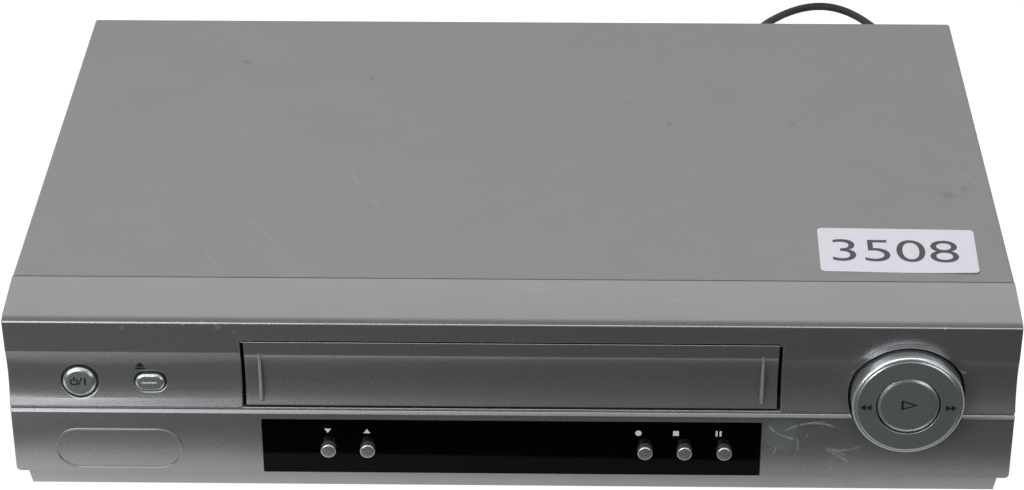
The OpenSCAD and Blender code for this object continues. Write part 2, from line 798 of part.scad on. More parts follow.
module rear_panel() {
    x = body_w / 2 - sheet_t - 2 * side_clear;
    x_low = body_w / 2 - plinth_in - plinth_slant;
    z1 = z_top - sheet_t - side_clear;
    color([0.12, 0.12, 0.12])
    place()
    difference() {
        along_y(rear_y - rear_t, rear_y) polygon([
            [-x_low, z_base], [x_low, z_base], [x_low + plinth_slant, z_plinth], [x, z_plinth], [x, z1],
            [-x, z1], [-x, z_plinth], [-x_low - plinth_slant, z_plinth]
        ]);
        for (p = jack_at) bar_y(jack_r + 0.7, rear_y - 9, rear_y + cut, p[0], p[1]);
        for (p = aerial_at) bar_y(aerial_r + 0.7, rear_y - 9, rear_y + cut, p[0], p[1]);
        bar_y(bushing_neck_r + 0.1, rear_y - 9, rear_y + cut, cord_x, bushing_z);
        for (x = rear_screws) bar_y(screw_r + 0.05, rear_y - 9, rear_y + cut, x, rear_screw_z);
        for (i = [0:11]) block([100 + i * 5, rear_y - 9, z_base + 32], [102.2 + i * 5, rear_y + cut, z_base + 54]);
    }
}

// A small key: cap, collar behind the window and stem
module small_key(x) {
    front = panel_back - 0.45 - key_out;
    color([0.75, 0.76, 0.78])
    place()
    turned_y(x, key_z) polygon([
        [0, front], [key_r - 0.55, front], [key_r, front + 0.55], [key_r, 5.2], [key_r + 0.9, 5.2],
        [key_r + 0.9, 6.4], [stem_r, 6.4], [stem_r, switch_face - key_rest], [0, switch_face - key_rest]
    ]);
}

module channel_down_key() { small_key(key_xs[0]); }
module channel_up_key() { small_key(key_xs[1]); }
module record_key() { small_key(key_xs[2]); }
module stop_key() { small_key(key_xs[3]); }
module pause_key() { small_key(key_xs[4]); }

module standby_key() {
    front = 1.7;
    color([0.6, 0.61, 0.63])
    place()
    turned_y(-standby_x, upper_key_z) polygon([
        [0, front], [standby_r - 1, front], [standby_r, front + 1], [standby_r, 6.4], [standby_r + 1.4, 6.4],
        [standby_r + 1.4, 7.4], [2, 7.4], [2, switch_face - key_rest], [0, switch_face - key_rest]
    ]);
}

module eject_key() {
    front = 1.8;
    chamfer = 0.9;
    r = eject_h / 2;
    run = eject_w - eject_h;
    color([0.6, 0.61, 0.63])
    place() {
        for (s = [-1, 1]) turned_y(-eject_x + s * run / 2, upper_key_z)
            polygon([[0, front], [r - chamfer, front], [r, front + chamfer], [r, 6.4], [0, 6.4]]);
        along_x(run, -eject_x) translate([0, upper_key_z]) polygon([
            [front, chamfer - r], [front, r - chamfer], [front + chamfer, r], [6.4, r], [6.4, -r], [front + chamfer, -r]
        ]);
        along_y(6.4 - eps, 7.4) translate([-eject_x, upper_key_z]) pill(eject_w + 2.4, eject_h + 2.4);
        bar_y(1.8, 7.3, switch_face - key_rest, -eject_x, upper_key_z);
    }
}

module play_key() {
    front = -dial_out + 0.9;
    collar = dial_back + 0.8;
    color([0.6, 0.61, 0.63])
    place()
    turned_y(dial_x, dial_z) polygon([
        [0, front], [play_r - 1, front], [play_r, front + 1], [play_r, collar], [play_r + 2, collar],
        [play_r + 2, collar + 0.9], [2, collar + 0.9], [2, switch_face - key_rest], [0, switch_face - key_rest]
    ]);
}

// The ring rocks left and right on two upright pins
module rocker_dial() {
    front = -dial_out;
    web_r = play_hole_r + 1.6;
    rim_r = dial_r - 2.4;
    color([0.62, 0.63, 0.65])
    place() {
        turned_y(dial_x, dial_z) polygon([
            [play_hole_r + 0.3, front + 0.6], [dial_r - 2.3, front + 0.6], [dial_r - 1.9, front + 0.1],
            [dial_r - 1.6, front + 0.1], [dial_r - 1.45, front + 0.4], [dial_r - 1.25, front + 0.4], [dial_r - 1.1, front],
            [dial_r - 0.8, front], [dial_r - 0.2, front + 0.7], [dial_r, front + 2], [dial_r, dial_back], [rim_r, dial_back],
            [rim_r, front + 2.6], [web_r, front + 2.6], [web_r, dial_back], [play_hole_r, dial_back], [play_hole_r, front + 0.9]
        ]);
        for (s = [-1, 1]) {
            bar_y(1.7, front + 2.5, switch_face - key_rest + 0.25, dial_x + s * dial_pad_x, dial_z);
            bar_z(dial_pin_r, s > 0 ? dial_z + rim_r + 1 : dial_z - dial_r - 2.6,
                s > 0 ? dial_z + dial_r + 2.6 : dial_z - rim_r - 1, dial_x, dial_pivot_y);
        }
    }
}

// A board behind the front, on the panel's posts
module upright_board(x0, x1, z1) {
    difference() {
        block([x0, key_board_back, board_z0], [x1, key_board_back + board_t, z1]);
        for (p = panel_posts) bar_y(panel_pin_r + 0.1, key_board_back - cut, key_board_back + board_t + cut, p[0], p[1]);
    }
}

module display_board() {
    color([0.1, 0.35, 0.2]) place() upright_board(-display_x, display_x, display_board_z1);
}

module key_boards() {
    color([0.1, 0.35, 0.2]) place() {
        upright_board(-key_x1, -key_x0, key_board_z1);
        upright_board(key_x0, key_x1, key_board_z1);
    }
}

module tact_switches() {
    half = 3;
    spots = concat(
        [for (x = key_xs) [x, key_z]],
        [[-standby_x, upper_key_z], [-eject_x, upper_key_z], [dial_x, dial_z]],
        [for (s = [-1, 1]) [dial_x + s * dial_pad_x, dial_z]]
    );
    color([0.2, 0.2, 0.2]) place() for (p = spots) {
        block([p[0] - half, switch_face + 0.7, p[1] - half], [p[0] + half, key_board_back, p[1] + half]);
        bar_y(1.6, switch_face, switch_face + 0.8, p[0], p[1]);
    }
}

module display_tube() {
    tube_w = 74;
    color([0.25, 0.3, 0.32]) place()
        block([-5 - tube_w / 2, key_board_back - 6, board_z0 + 1], [-5 + tube_w / 2, key_board_back, display_board_z1 - 3]);
}

// A slot that follows the drum's circle between two angles
module ring_sector(r0, r1, a0, a1, z0, z1, centre) {
    translate([centre[0], centre[1], z0]) rotate([0, 0, a0])
        rotate_extrude(angle = a1 - a0) translate([r0, 0]) square([r1 - r0, z1 - z0]);
}

module deck_plate() {
    flange_h = 4;
    slot_over = 3;
    color([0.7, 0.71, 0.72])
    place() {
        difference() {
            block([-deck_w / 2, deck_y0, z_deck_under], [deck_w / 2, deck_y1, z_deck]);
            ring_sector(guide_r - slot_half, guide_r + slot_half, supply_angle - guide_swing - slot_over,
                supply_angle + slot_over, z_deck_under - cut, z_deck + cut, drum_at);
            ring_sector(guide_r - slot_half, guide_r + slot_half, takeup_angle - slot_over,
                takeup_angle + guide_swing + slot_over, z_deck_under - cut, z_deck + cut, drum_at);
            bar_z(bearing_r + 0.1, z_deck_under - cut, z_deck + cut, capstan_at[0], capstan_at[1]);
            bar_z(drum_shaft_r + 2, z_deck_under - cut, z_deck + cut, drum_at[0], drum_at[1]);
            for (p = deck_posts) bar_z(screw_r + 0.2, z_deck_under - cut, z_deck + cut, p[0], p[1]);
            block([-20, deck_y0 + 6, z_deck_under - cut], [20, deck_y0 + 22, z_deck + cut]);
        }
        for (s = [-1, 1]) block([s > 0 ? deck_w / 2 - deck_t : -deck_w / 2, 64, z_deck_under - flange_h],
            [s > 0 ? deck_w / 2 : deck_t - deck_w / 2, 196, z_deck_under + eps]);
        for (s = [-1, 1]) {
            deck_stud([s * reel_x, reel_y], spindle_r, 5.5, reel_z - 0.3, reel_top - 3);
        }
        deck_stud(idler_pivot, 2, 4, z_deck + 0.4, z_deck + 3.4);
        deck_stud(pinch_pivot, 2, 4, pinch_z - 2.3, pinch_z + 9);
        deck_stud(cam_at, 2, 4, cam_z - 0.3, cam_z + cam_t + 1);
        motor_shelf();
    }
}

// A stud on the deck with a collar for what turns on it
module deck_stud(at, r, collar_r, collar_z, top_z) {
    bar_z(collar_r, z_deck - eps, collar_z, at[0], at[1]);
    bar_z(r, z_deck - eps, top_z, at[0], at[1]);
}

// The folded shelf that carries the loading motor above its pinion
module motor_shelf() {
    x1 = motor_at[0] + motor_r;
    y1 = motor_at[1] + motor_r - 0.5;
    z1 = motor_z;
    difference() {
        block([motor_at[0] - motor_r, motor_at[1] - motor_r, z1 - motor_shelf_t], [x1, y1, z1]);
        bar_z(2.5, z1 - 3, z1 + 3, motor_at[0], motor_at[1]);
    }
    block([x1 - motor_shelf_t, motor_at[1] - 6, z_deck - eps], [x1, y1, z1]);
    block([motor_at[0] - 6, y1 - motor_shelf_t, z_deck - eps], [x1, y1, z1]);
}

module deck_screws() {
    color([0.75, 0.75, 0.77]) place() for (p = deck_posts) translate([p[0], p[1], z_deck]) screw(2.8);
}

// Everything on the drum leans with it
module on_drum() {
    translate([drum_at[0], drum_at[1], drum_z]) rotate([0, drum_tilt, 0]) children();
}

module drum_base() {
    base_r = 24;
    color([0.6, 0.61, 0.62])
    place()
    difference() {
        union() {
            bar_z(base_r, z_deck, drum_z + 4, drum_at[0], drum_at[1]);
            bar_z(base_r + 6, z_deck, z_deck + 1, drum_at[0], drum_at[1]);
        }
        on_drum() translate([-50, -50, 0]) cube([100, 100, 30]);
        bar_z(drum_shaft_r + 2, z_deck - cut, drum_z + 6, drum_at[0], drum_at[1]);
    }
}

module lower_drum() {
    lead_w = 0.5;
    color([0.72, 0.73, 0.75])
    place()
    on_drum() rotate_extrude() polygon([
        [drum_shaft_r + run_clear, 0], [drum_r + lead_w, 0], [drum_r + lead_w, 4], [drum_r, 4.6], [drum_r, lower_h],
        [drum_r - 6, lower_h], [drum_r - 6, lower_h - 2], [8, lower_h - 2], [8, lower_h], [drum_shaft_r + run_clear, lower_h]
    ]);
}

module upper_drum() {
    z0 = lower_h + drum_gap;
    z1 = z0 + upper_h;
    head_n = 4;
    hub_r = 9;
    color([0.8, 0.81, 0.82])
    place()
    on_drum() difference() {
        rotate_extrude() polygon([
            [drum_shaft_r + 0.02, z0], [drum_r, z0], [drum_r, z1 - 0.6], [drum_r - 0.6, z1],
            [drum_r - 4, z1], [drum_r - 4, z1 - 4], [hub_r + 4, z1 - 4], [hub_r + 4, z1], [drum_r - 10, z1],
            [drum_r - 10, z1 + rotor_h - 1], [drum_r - 11, z1 + rotor_h], [drum_shaft_r + 0.02, z1 + rotor_h]
        ]);
        for (i = [0:head_n - 1]) rotate([0, 0, 20 + i * 360 / head_n])
            translate([drum_r - 3, -2, z0 - cut]) cube([6, 4, cut + 1.8]);
    }
}

module drum_shaft() {
    color([0.85, 0.85, 0.86]) place() on_drum() translate([0, 0, 1.5])
        cylinder(r = drum_shaft_r, h = lower_h + upper_h + rotor_h);
}

// The capstan motor hangs under the deck
module capstan_stator() {
    color([0.75, 0.68, 0.4])
    place()
    difference() {
        union() {
            bar_z(rotor_r + 3, stator_z, z_deck_under, capstan_at[0], capstan_at[1]);
            bar_z(bearing_r, stator_z, z_deck + 10, capstan_at[0], capstan_at[1]);
        }
        bar_z(capstan_r + run_clear, stator_z - cut, z_deck + 11, capstan_at[0], capstan_at[1]);
    }
}

module capstan_rotor() {
    color([0.6, 0.6, 0.62])
    place()
    translate([capstan_at[0], capstan_at[1], 0]) rotate_extrude() polygon([
        [capstan_r + 0.02, rotor_z], [rotor_r - 0.6, rotor_z], [rotor_r, rotor_z + 0.6], [rotor_r, rotor_top],
        [rotor_r - 3, rotor_top], [rotor_r - 3, rotor_z + 2], [5, rotor_z + 2], [5, rotor_top], [capstan_r + 0.02, rotor_top]
    ]);
}

module capstan_shaft() {
    color([0.88, 0.88, 0.9]) place() bar_z(capstan_r, rotor_z, z_deck + 36, capstan_at[0], capstan_at[1]);
}

module pinch_arm() {
    arm_w = 6;
    arm_t = 1.8;
    pin_top = pinch_z + pinch_h + 1.4;
    color([0.68, 0.69, 0.7])
    place()
    difference() {
        union() {
            bar_z(4.5, pinch_z - 2, pinch_z + 6, pinch_pivot[0], pinch_pivot[1]);
            translate([pinch_pivot[0], pinch_pivot[1], pinch_z - 2]) rotate([0, 0, pinch_rest])
                translate([0, -arm_w / 2, 0]) cube([pinch_arm_len, arm_w, arm_t]);
            bar_z(arm_w / 2 + 0.5, pinch_z - 2, pinch_z - 2 + arm_t, pinch_at[0], pinch_at[1]);
            bar_z(pin_r, pinch_z - 1, pin_top, pinch_at[0], pinch_at[1]);
        }
        bar_z(2 + run_clear, pinch_z - 5, pinch_z + 12, pinch_pivot[0], pinch_pivot[1]);
    }
}

module pinch_roller() {
    core_r = 3.4;
    color([0.1, 0.1, 0.1])
    place()
    translate([pinch_at[0], pinch_at[1], pinch_z + 0.1]) rotate_extrude() polygon([
        [pin_r + run_clear, 0], [core_r, 0], [core_r, 0.8], [pinch_r - 0.4, 0.8], [pinch_r, 1.2],
        [pinch_r, pinch_h - 1.2], [pinch_r - 0.4, pinch_h - 0.8], [core_r, pinch_h - 0.8], [core_r, pinch_h],
        [pin_r + run_clear, pinch_h]
    ]);
}

// A reel table: disc, hub and a splined spindle, turning on the deck's stud
module reel(x) {
    hub_r = 12;
    spline_r = 8.2;
    spline_n = 6;
    disc_top = reel_z + reel_disc_t;
    color([0.15, 0.15, 0.16])
    place()
    translate([x, reel_y, 0]) {
        rotate_extrude() polygon([
            [spindle_r + run_clear, reel_z], [reel_r - 0.5, reel_z], [reel_r, reel_z + 0.5], [reel_r, disc_top - 0.5],
            [reel_r - 0.5, disc_top], [reel_r - 4, disc_top], [reel_r - 4, disc_top - 1.4], [hub_r + 2, disc_top - 1.4],
            [hub_r + 2, disc_top], [hub_r, disc_top + 0.6], [6.2, disc_top + 0.6], [6.2, reel_top - 2], [4, reel_top],
            [spindle_r + run_clear, reel_top]
        ]);
        for (i = [0:spline_n - 1]) rotate([0, 0, i * 360 / spline_n])
            translate([5.6, -0.9, disc_top + 0.5]) cube([spline_r - 5.6, 1.8, reel_top - 4 - disc_top]);
    }
}

module supply_reel() { reel(-reel_x); }
module takeup_reel() { reel(reel_x); }

// The idler swings between the two reel tables
module idler_arm() {
    arm_t = 1.2;
    color([0.7, 0.7, 0.72])
    place()
    difference() {
        union() {
            block([-4, reel_y, idler_z], [4, idler_pivot[1], idler_z + arm_t]);
            bar_z(5, idler_z, idler_z + arm_t, idler_pivot[0], idler_pivot[1]);
            bar_z(4.5, idler_z, idler_z + arm_t, 0, reel_y);
            bar_z(pin_r, idler_z, reel_z + reel_disc_t + 0.4, 0, reel_y);
        }
        bar_z(2 + run_clear, idler_z - cut, idler_z + 4, idler_pivot[0], idler_pivot[1]);
    }
}

module idler_wheel() {
    z0 = idler_z + 1.5;
    z1 = reel_z + reel_disc_t;
    color([0.12, 0.12, 0.12])
    place()
    translate([0, reel_y, 0]) rotate_extrude() polygon([
        [pin_r + run_clear, z0], [idler_r - 0.4, z0], [idler_r, z0 + 0.4], [idler_r, z1 - 0.4], [idler_r - 0.4, z1],
        [idler_r - 3, z1], [idler_r - 3, z1 - 1], [4, z1 - 1], [4, z1], [pin_r + run_clear, z1]
    ]);
}

// A tape guide: a curved shoe over the slot, a flanged roller and a leaning post
module tape_guide(angle, lean) {
    shoe_half = 9.5;
    shoe_t = 3;
    z0 = z_deck + guide_gap;
    z1 = z0 + shoe_t;
    top = z_deck + guide_post_h;
    x = drum_at[0] + guide_r * cos(angle);
    y = drum_at[1] + guide_r * sin(angle);
    color([0.78, 0.74, 0.6])
    place() {
        ring_sector(guide_r - 5.5, guide_r + 5.5, angle - shoe_half, angle + shoe_half, z0, z1, drum_at);
        translate([x, y, 0]) rotate_extrude() polygon([
            [0, z1 - 0.2], [guide_post_r + 1, z1 - 0.2], [guide_post_r + 1, z1 + 5], [guide_post_r, z1 + 5.4],
            [guide_post_r, top - 3], [guide_post_r + 1, top - 2.6], [guide_post_r + 1, top - 0.5],
            [guide_post_r + 0.5, top], [0, top]
        ]);
        bar_z(slot_half - 0.1, z_deck_under - 0.5, z0 + eps, x, y);
        bar_z(slot_half + 1.6, z_deck_under - 1.4, z_deck_under - 0.4, x, y);
        translate([drum_at[0] + guide_r * cos(angle + lean * 7), drum_at[1] + guide_r * sin(angle + lean * 7), z1 - 0.2])
            rotate([0, 0, angle]) rotate([-lean * 4, 0, 0]) cylinder(r = 1.2, h = guide_post_h - 6);
    }
}

module supply_guide() { tape_guide(supply_angle, -1); }
module takeup_guide() { tape_guide(takeup_angle, 1); }

// Involute teeth, with their flanks worked out from the base circle
pressure = 20;
backlash = 0.12;
function involute(a) = tan(a) * 180 / PI - a;
function half_tooth(n, r) = let (rp = gear_m * n / 2, rb = rp * cos(pressure))
    90 / n - backlash / rp * 90 / PI + involute(pressure) - involute(acos(min(1, rb / r)));
function tooth_radii(n) = let (rp = gear_m * n / 2)
    [rp - gear_m * 1.1, rp - gear_m * 0.45, rp, rp + gear_m * 0.45, rp + gear_m * 0.85];
function gear_points(n) = let (radii = tooth_radii(n), k = len(radii))
    [for (t = [0:n - 1], j = [0:2 * k - 1])
        let (rise = j < k, r = radii[rise ? j : 2 * k - 1 - j], h = half_tooth(n, r), a = 360 * t / n + (rise ? -h : h))
        [r * cos(a), r * sin(a)]];

module gear(n, at, turn, z0, height) {
    translate([at[0], at[1], z0]) rotate([0, 0, turn]) linear_extrude(height) polygon(gear_points(n));
}

module cam_gear() {
    track_r = 11;
    color([0.85, 0.84, 0.78])
    place()
    difference() {
        gear(cam_teeth, cam_at, 45, cam_z, cam_t);
        bar_z(2 + run_clear, cam_z - cut, cam_z + cam_t + cut, cam_at[0], cam_at[1]);
        ring_sector(track_r - 1.5, track_r + 1.5, 60, 330, cam_z + cam_t - 1.8, cam_z + cam_t + cut, cam_at);
    }
}

module motor_pinion() {
    shaft_r = 1;
    color([0.85, 0.84, 0.78])
    place() {
        gear(pinion_teeth, motor_at, 225 + 180 / pinion_teeth, cam_z, cam_t);
        bar_z(shaft_r, cam_z, motor_z + 8, motor_at[0], motor_at[1]);
    }
}

module loading_motor() {
    can_h = 24;
    color([0.65, 0.66, 0.68])
    place()
    difference() {
        translate([motor_at[0], motor_at[1], motor_z]) rotate_extrude()
            polygon([[1.05, 0], [motor_r - 0.5, 0], [motor_r - 0.5, can_h - 1], [motor_r - 1.5, can_h], [1.05, can_h]]);
        for (s = [-1, 1]) translate([motor_at[0] + s * (motor_r + 0.3) - 1, motor_at[1] - 10, motor_z + 4]) cube([2, 20, can_h]);
    }
}

// A head on a folded foot
module head_block(x, y, turn, w, d) {
    translate([x, y, z_deck]) rotate([0, 0, turn]) {
        translate([-w / 2 - 1, -d / 2, 0]) cube([w + 2, d + 4, 1.4]);
        translate([-w / 2, d / 2 - 1.2, 0]) cube([w, 1.4, 15]);
        translate([-w / 2, -d / 2, 9]) cube([w, d, 18]);
    }
}

module erase_head() {
    color([0.5, 0.5, 0.52]) place() head_block(-66, 167 - path_in, 20, 12, 8);
}

module audio_head() {
    color([0.66, 0.67, 0.7]) place() head_block(66, 167 - path_in, -20, 11, 9);
}

module tape_end_lamp() {
    half = 3;
    color([0.25, 0.25, 0.26]) place() {
        block([-half - 2, 125 - half, z_deck], [half + 2, 125 + half, z_deck + 3]);
        block([-half, 125 - half, z_deck], [half, 125 + half, z_deck + 24]);
    }
}

// Cassette housing: two fixed brackets, a carriage that slides in them and a basket that drops
module side_brackets() {
    foot_w = 6;
    travel = load_travel - path_in;
    color([0.68, 0.69, 0.7])
    place()
    for (s = [-1, 1]) difference() {
        union() {
            mirrored(s) block([bracket_x, bracket_y0, z_deck], [bracket_x + plate_t, bracket_y1, bracket_z1]);
            mirrored(s) block([bracket_x, bracket_y0, z_deck], [bracket_x + foot_w, bracket_y1, z_deck + plate_t]);
        }
        mirrored(s) {
            block([bracket_x - cut, rail_pins[0], rail_z - rail_r - run_clear],
                [bracket_x + plate_t + cut, rail_pins[1] + travel, rail_z + rail_r + run_clear]);
            bar_x(rail_r + run_clear, bracket_x - cut, bracket_x + plate_t + cut, rail_pins[0], rail_z);
            bar_x(rail_r + run_clear, bracket_x - cut, bracket_x + plate_t + cut, rail_pins[1] + travel, rail_z);
            block([bracket_x - cut, bracket_y0 + 20, z_deck + 5], [bracket_x + plate_t + cut, bracket_y1 - 20, rail_z - 6]);
            block([bracket_x - cut, bracket_y0 + 20, rail_z + 7], [bracket_x + plate_t + cut, bracket_y1 - 20, bracket_z1 - 6]);
            bar_z(2 * screw_r + 0.6, z_deck - cut, z_deck + 3, deck_posts[1][0], deck_posts[1][1]);
        }
    }
}

// The right-hand side, or its mirror image on the left
module mirrored(s) {
    mirror([s > 0 ? 0 : 1, 0, 0]) children();
}

module top_bridge() {
    color([0.7, 0.7, 0.72])
    place()
    difference() {
        block([-bracket_x - plate_t, 64, bracket_z1], [bracket_x + plate_t, 100, bracket_z1 + plate_t]);
        for (s = [-1, 1]) mirrored(s) block([14, 70, bracket_z1 - cut], [bracket_x - 12, 94, bracket_z1 + 3]);
    }
}

module carriage() {
    color([0.2, 0.2, 0.21])
    place() {
        for (s = [-1, 1]) mirrored(s) {
            difference() {
                block([carriage_x, carriage_y0, carriage_z0], [carriage_x + plate_t, carriage_y1, carriage_z1]);
                for (y = lift_pins) {
                    block([carriage_x - cut, y - lift_pin_r - run_clear, lift_pin_z - drop_travel],
                        [carriage_x + plate_t + cut, y + lift_pin_r + run_clear, lift_pin_z]);
                    bar_x(lift_pin_r + run_clear, carriage_x - cut, carriage_x + plate_t + cut, y, lift_pin_z);
                    bar_x(lift_pin_r + run_clear, carriage_x - cut, carriage_x + plate_t + cut, y, lift_pin_z - drop_travel);
                }
            }
            for (y = rail_pins) bar_x(rail_r, carriage_x + plate_t - eps, bracket_x + plate_t + 1.2, y, rail_z);
        }
        block([-carriage_x - plate_t, carriage_y1 - 6, carriage_z1 - plate_t], [carriage_x + plate_t, carriage_y1, carriage_z1]);
    }
}

module basket() {
    y0 = basket_y0;
    y1 = basket_y1 + basket_t;
    x = basket_x + basket_t;
    z0 = bay_z - basket_t;
    z1 = basket_top + basket_t;
    color([0.74, 0.75, 0.76])
    place() {
        for (s = [-1, 1]) mirrored(s) {
            block([basket_x, y0, z0], [x, y1, z1]);
            block([basket_x - ledge_w, y0, z0], [x, y1, bay_z]);
            block([basket_x - 2 * ledge_w, basket_y1, z0], [x, y1, z1]);
            for (y = lift_pins) bar_x(lift_pin_r, x - eps, carriage_x + plate_t + 0.4, y, lift_pin_z);
        }
        difference() {
            block([-x, y0, basket_top], [x, y1, z1]);
            for (s = [-1, 1]) mirrored(s) block([18, y0 + 8, basket_top - cut], [74, y1 - 10, z1 + cut]);
        }
    }
}

// Flat boards on the base frame's bosses
module flat_board(x0, x1, y0, y1, bosses) {
    difference() {
        block([x0, y0, z_board], [x1, y1, z_board + board_t]);
        for (p = bosses) bar_z(screw_r + 0.2, z_board - cut, z_board + board_t + cut, p[0], p[1]);
        for (p = deck_posts) bar_z(post_r + 1, z_board - cut, z_board + board_t + cut, p[0], p[1]);
    }
}

module main_board() {
    color([0.12, 0.4, 0.22]) place() flat_board(main_x0, main_x0 + main_w, main_y0, main_y1, main_bosses);
}

module power_board() {
    color([0.6, 0.45, 0.2]) place() flat_board(power_x1 - power_w, power_x1, power_y0, main_y1, power_bosses);
}

// Parts soldered on the two flat boards: chips, capacitors and connectors
module board_parts() {
    z0 = z_board + board_t;
    color([0.15, 0.15, 0.17])
    place() {
        for (p = [[79, 90, 24, 24], [129, 110, 18, 10], [129, 70, 18, 10], [179, 120, 14, 14], [89, 160, 12, 20]])
            block([main_x0 + p[0], p[1], z0], [main_x0 + p[0] + p[2], p[1] + p[3], z0 + 2.4]);
        for (p = [[19, 60], [32, 60], [19, 78], [32, 78], [44.4, 60], [19, 130], [32, 130]])
            bar_z(5, z0, z0 + 12, main_x0 + p[0], p[1]);
        for (y = [100, main_y1 - 86, main_y1 - 66]) block([main_x0 + 9, y, z0], [main_x0 + 39, y + 6, z0 + 9]);
        bar_z(11, z0, z0 + 30, power_x1 - 16, power_y0 + 62);
        for (p = [[power_x1 - 44, power_y0 + 90], [power_x1 - 30, power_y0 + 90]]) bar_z(5, z0, z0 + 16, p[0], p[1]);
        block([power_x1 - 30, main_y1 - 24, z0], [power_x1 - 4, main_y1 - 14, z0 + 14]);
    }
}

module transformer() {
    z0 = z_board + board_t;
    x0 = power_x1 - 46;
    y0 = power_y0 + 8;
    color([0.75, 0.68, 0.35])
    place() {
        block([x0, y0, z0], [x0 + 36, y0 + 32, z0 + 3]);
        block([x0 + 4, y0 + 5, z0 + 3 - eps], [x0 + 32, y0 + 27, z0 + 24]);
        block([x0, y0 + 9, z0 + 6], [x0 + 36, y0 + 23, z0 + 28]);
    }
}

module heat_sink() {
    z0 = z_board + board_t;
    x0 = power_x1 - 46;
    y0 = power_y0 + 108;
    fin_n = 6;
    color([0.7, 0.7, 0.72])
    place() {
        block([x0, y0, z0], [x0 + 36, y0 + 2.4, z0 + 34]);
        for (i = [0:fin_n - 1]) block([x0 + i * 6.8, y0 + 2.3, z0], [x0 + 2 + i * 6.8, y0 + 14, z0 + 34]);
    }
}

module tuner_can() {
    z0 = z_board + board_t;
    y1 = rear_y - rear_t;
    color([0.75, 0.76, 0.78])
    place() {
        block([main_x0 + 1, y1 - 46, z0], [main_x0 + 38, y1, z0 + 27]);
        for (p = aerial_at) difference() {
            union() {
                bar_y(aerial_r + 0.45, y1 - eps, rear_y + 0.5, p[0], p[1]);
                bar_y(aerial_r, y1, rear_y + jack_len, p[0], p[1]);
            }
            bar_y(1.2, rear_y + 2, rear_y + jack_len + cut, p[0], p[1]);
        }
    }
}

module av_sockets() {
    z0 = z_board + board_t;
    y1 = rear_y - rear_t;
    half = jack_pitch / 2;
    color([0.1, 0.1, 0.1])
    place() {
        block([jack_at[0][0] - half, y1 - 16, z0], [jack_at[2][0] + half, y1, jack_at[1][1] + half]);
        for (p = jack_at) difference() {
            union() {
                bar_y(jack_r + 0.45, y1 - eps, rear_y + jack_len - 8, p[0], p[1]);
                bar_y(jack_r, y1, rear_y + jack_len, p[0], p[1]);
            }
            bar_y(1.6, rear_y + 2, rear_y + jack_len + cut, p[0], p[1]);
        }
    }
}

// The mains lead: out of the back, down to the floor, a bend behind the case and a round coil
module cord_bushing() {
    inner_r = bushing_neck_r + 1.6;
    color([0.06, 0.06, 0.06])
    place()
    turned_y(cord_x, bushing_z) polygon([
        [0, rear_y - rear_t - 2], [inner_r, rear_y - rear_t - 2], [inner_r, rear_y - rear_t],
        [bushing_neck_r, rear_y - rear_t], [bushing_neck_r, rear_y], [inner_r, rear_y], [inner_r, rear_y + 2.5],
        [bushing_neck_r, rear_y + 3.5], [cord_r + 0.9, bushing_end], [0, bushing_end]
    ]);
}

module mains_lead() {
    color([0.06, 0.06, 0.06]) place() tube(lead_path, cord_r, 8);
}

module mains_coil() {
    color([0.06, 0.06, 0.06]) place() tube(coil_path, cord_r, 6);
}

// A flat two-pin plug, lying beside the coil
module mains_plug() {
    pin_gap = 19;
    h = 2 * plug_z;
    color([0.06, 0.06, 0.06])
    place()
    translate([plug_x, plug_y, plug_z]) {
        rotate([90, 0, 0]) rotate_extrude() polygon([[0, 0], [cord_r + 0.7, 0], [4.4, 14], [0, 14]]);
        translate([0, 0, -plug_z]) linear_extrude(h) polygon([
            [-6, -12], [6, -12], [9, -16], [13.5, -32], [17.6, -40], [17.6, -47], [-17.6, -47], [-17.6, -40],
            [-13.5, -32], [-9, -16]
        ]);
        for (s = [-1, 1]) translate([s * pin_gap / 2, -46.9, 0]) rotate([90, 0, 0]) cylinder(r = 2, h = 19);
    }
}

base_frame();
feet();
top_cover();
cover_screws();
rear_panel();
front_panel();
display_window();
cassette_flap();
standby_key();
eject_key();
channel_down_key();
channel_up_key();
record_key();
stop_key();
pause_key();
play_key();
rocker_dial();
display_board();
key_boards();
tact_switches();
display_tube();
deck_plate();
deck_screws();
drum_base();
lower_drum();
upper_drum();
drum_shaft();
capstan_stator();
capstan_rotor();
capstan_shaft();
pinch_arm();
pinch_roller();
supply_reel();
takeup_reel();
idler_arm();
idler_wheel();
supply_guide();
takeup_guide();
cam_gear();
loading_motor();
motor_pinion();
erase_head();
audio_head();
tape_end_lamp();
side_brackets();
top_bridge();
carriage();
basket();
main_board();
power_board();
board_parts();
transformer();
heat_sink();
tuner_can();
av_sockets();
cord_bushing();
mains_lead();
mains_coil();
mains_plug();
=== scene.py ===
import json
import math

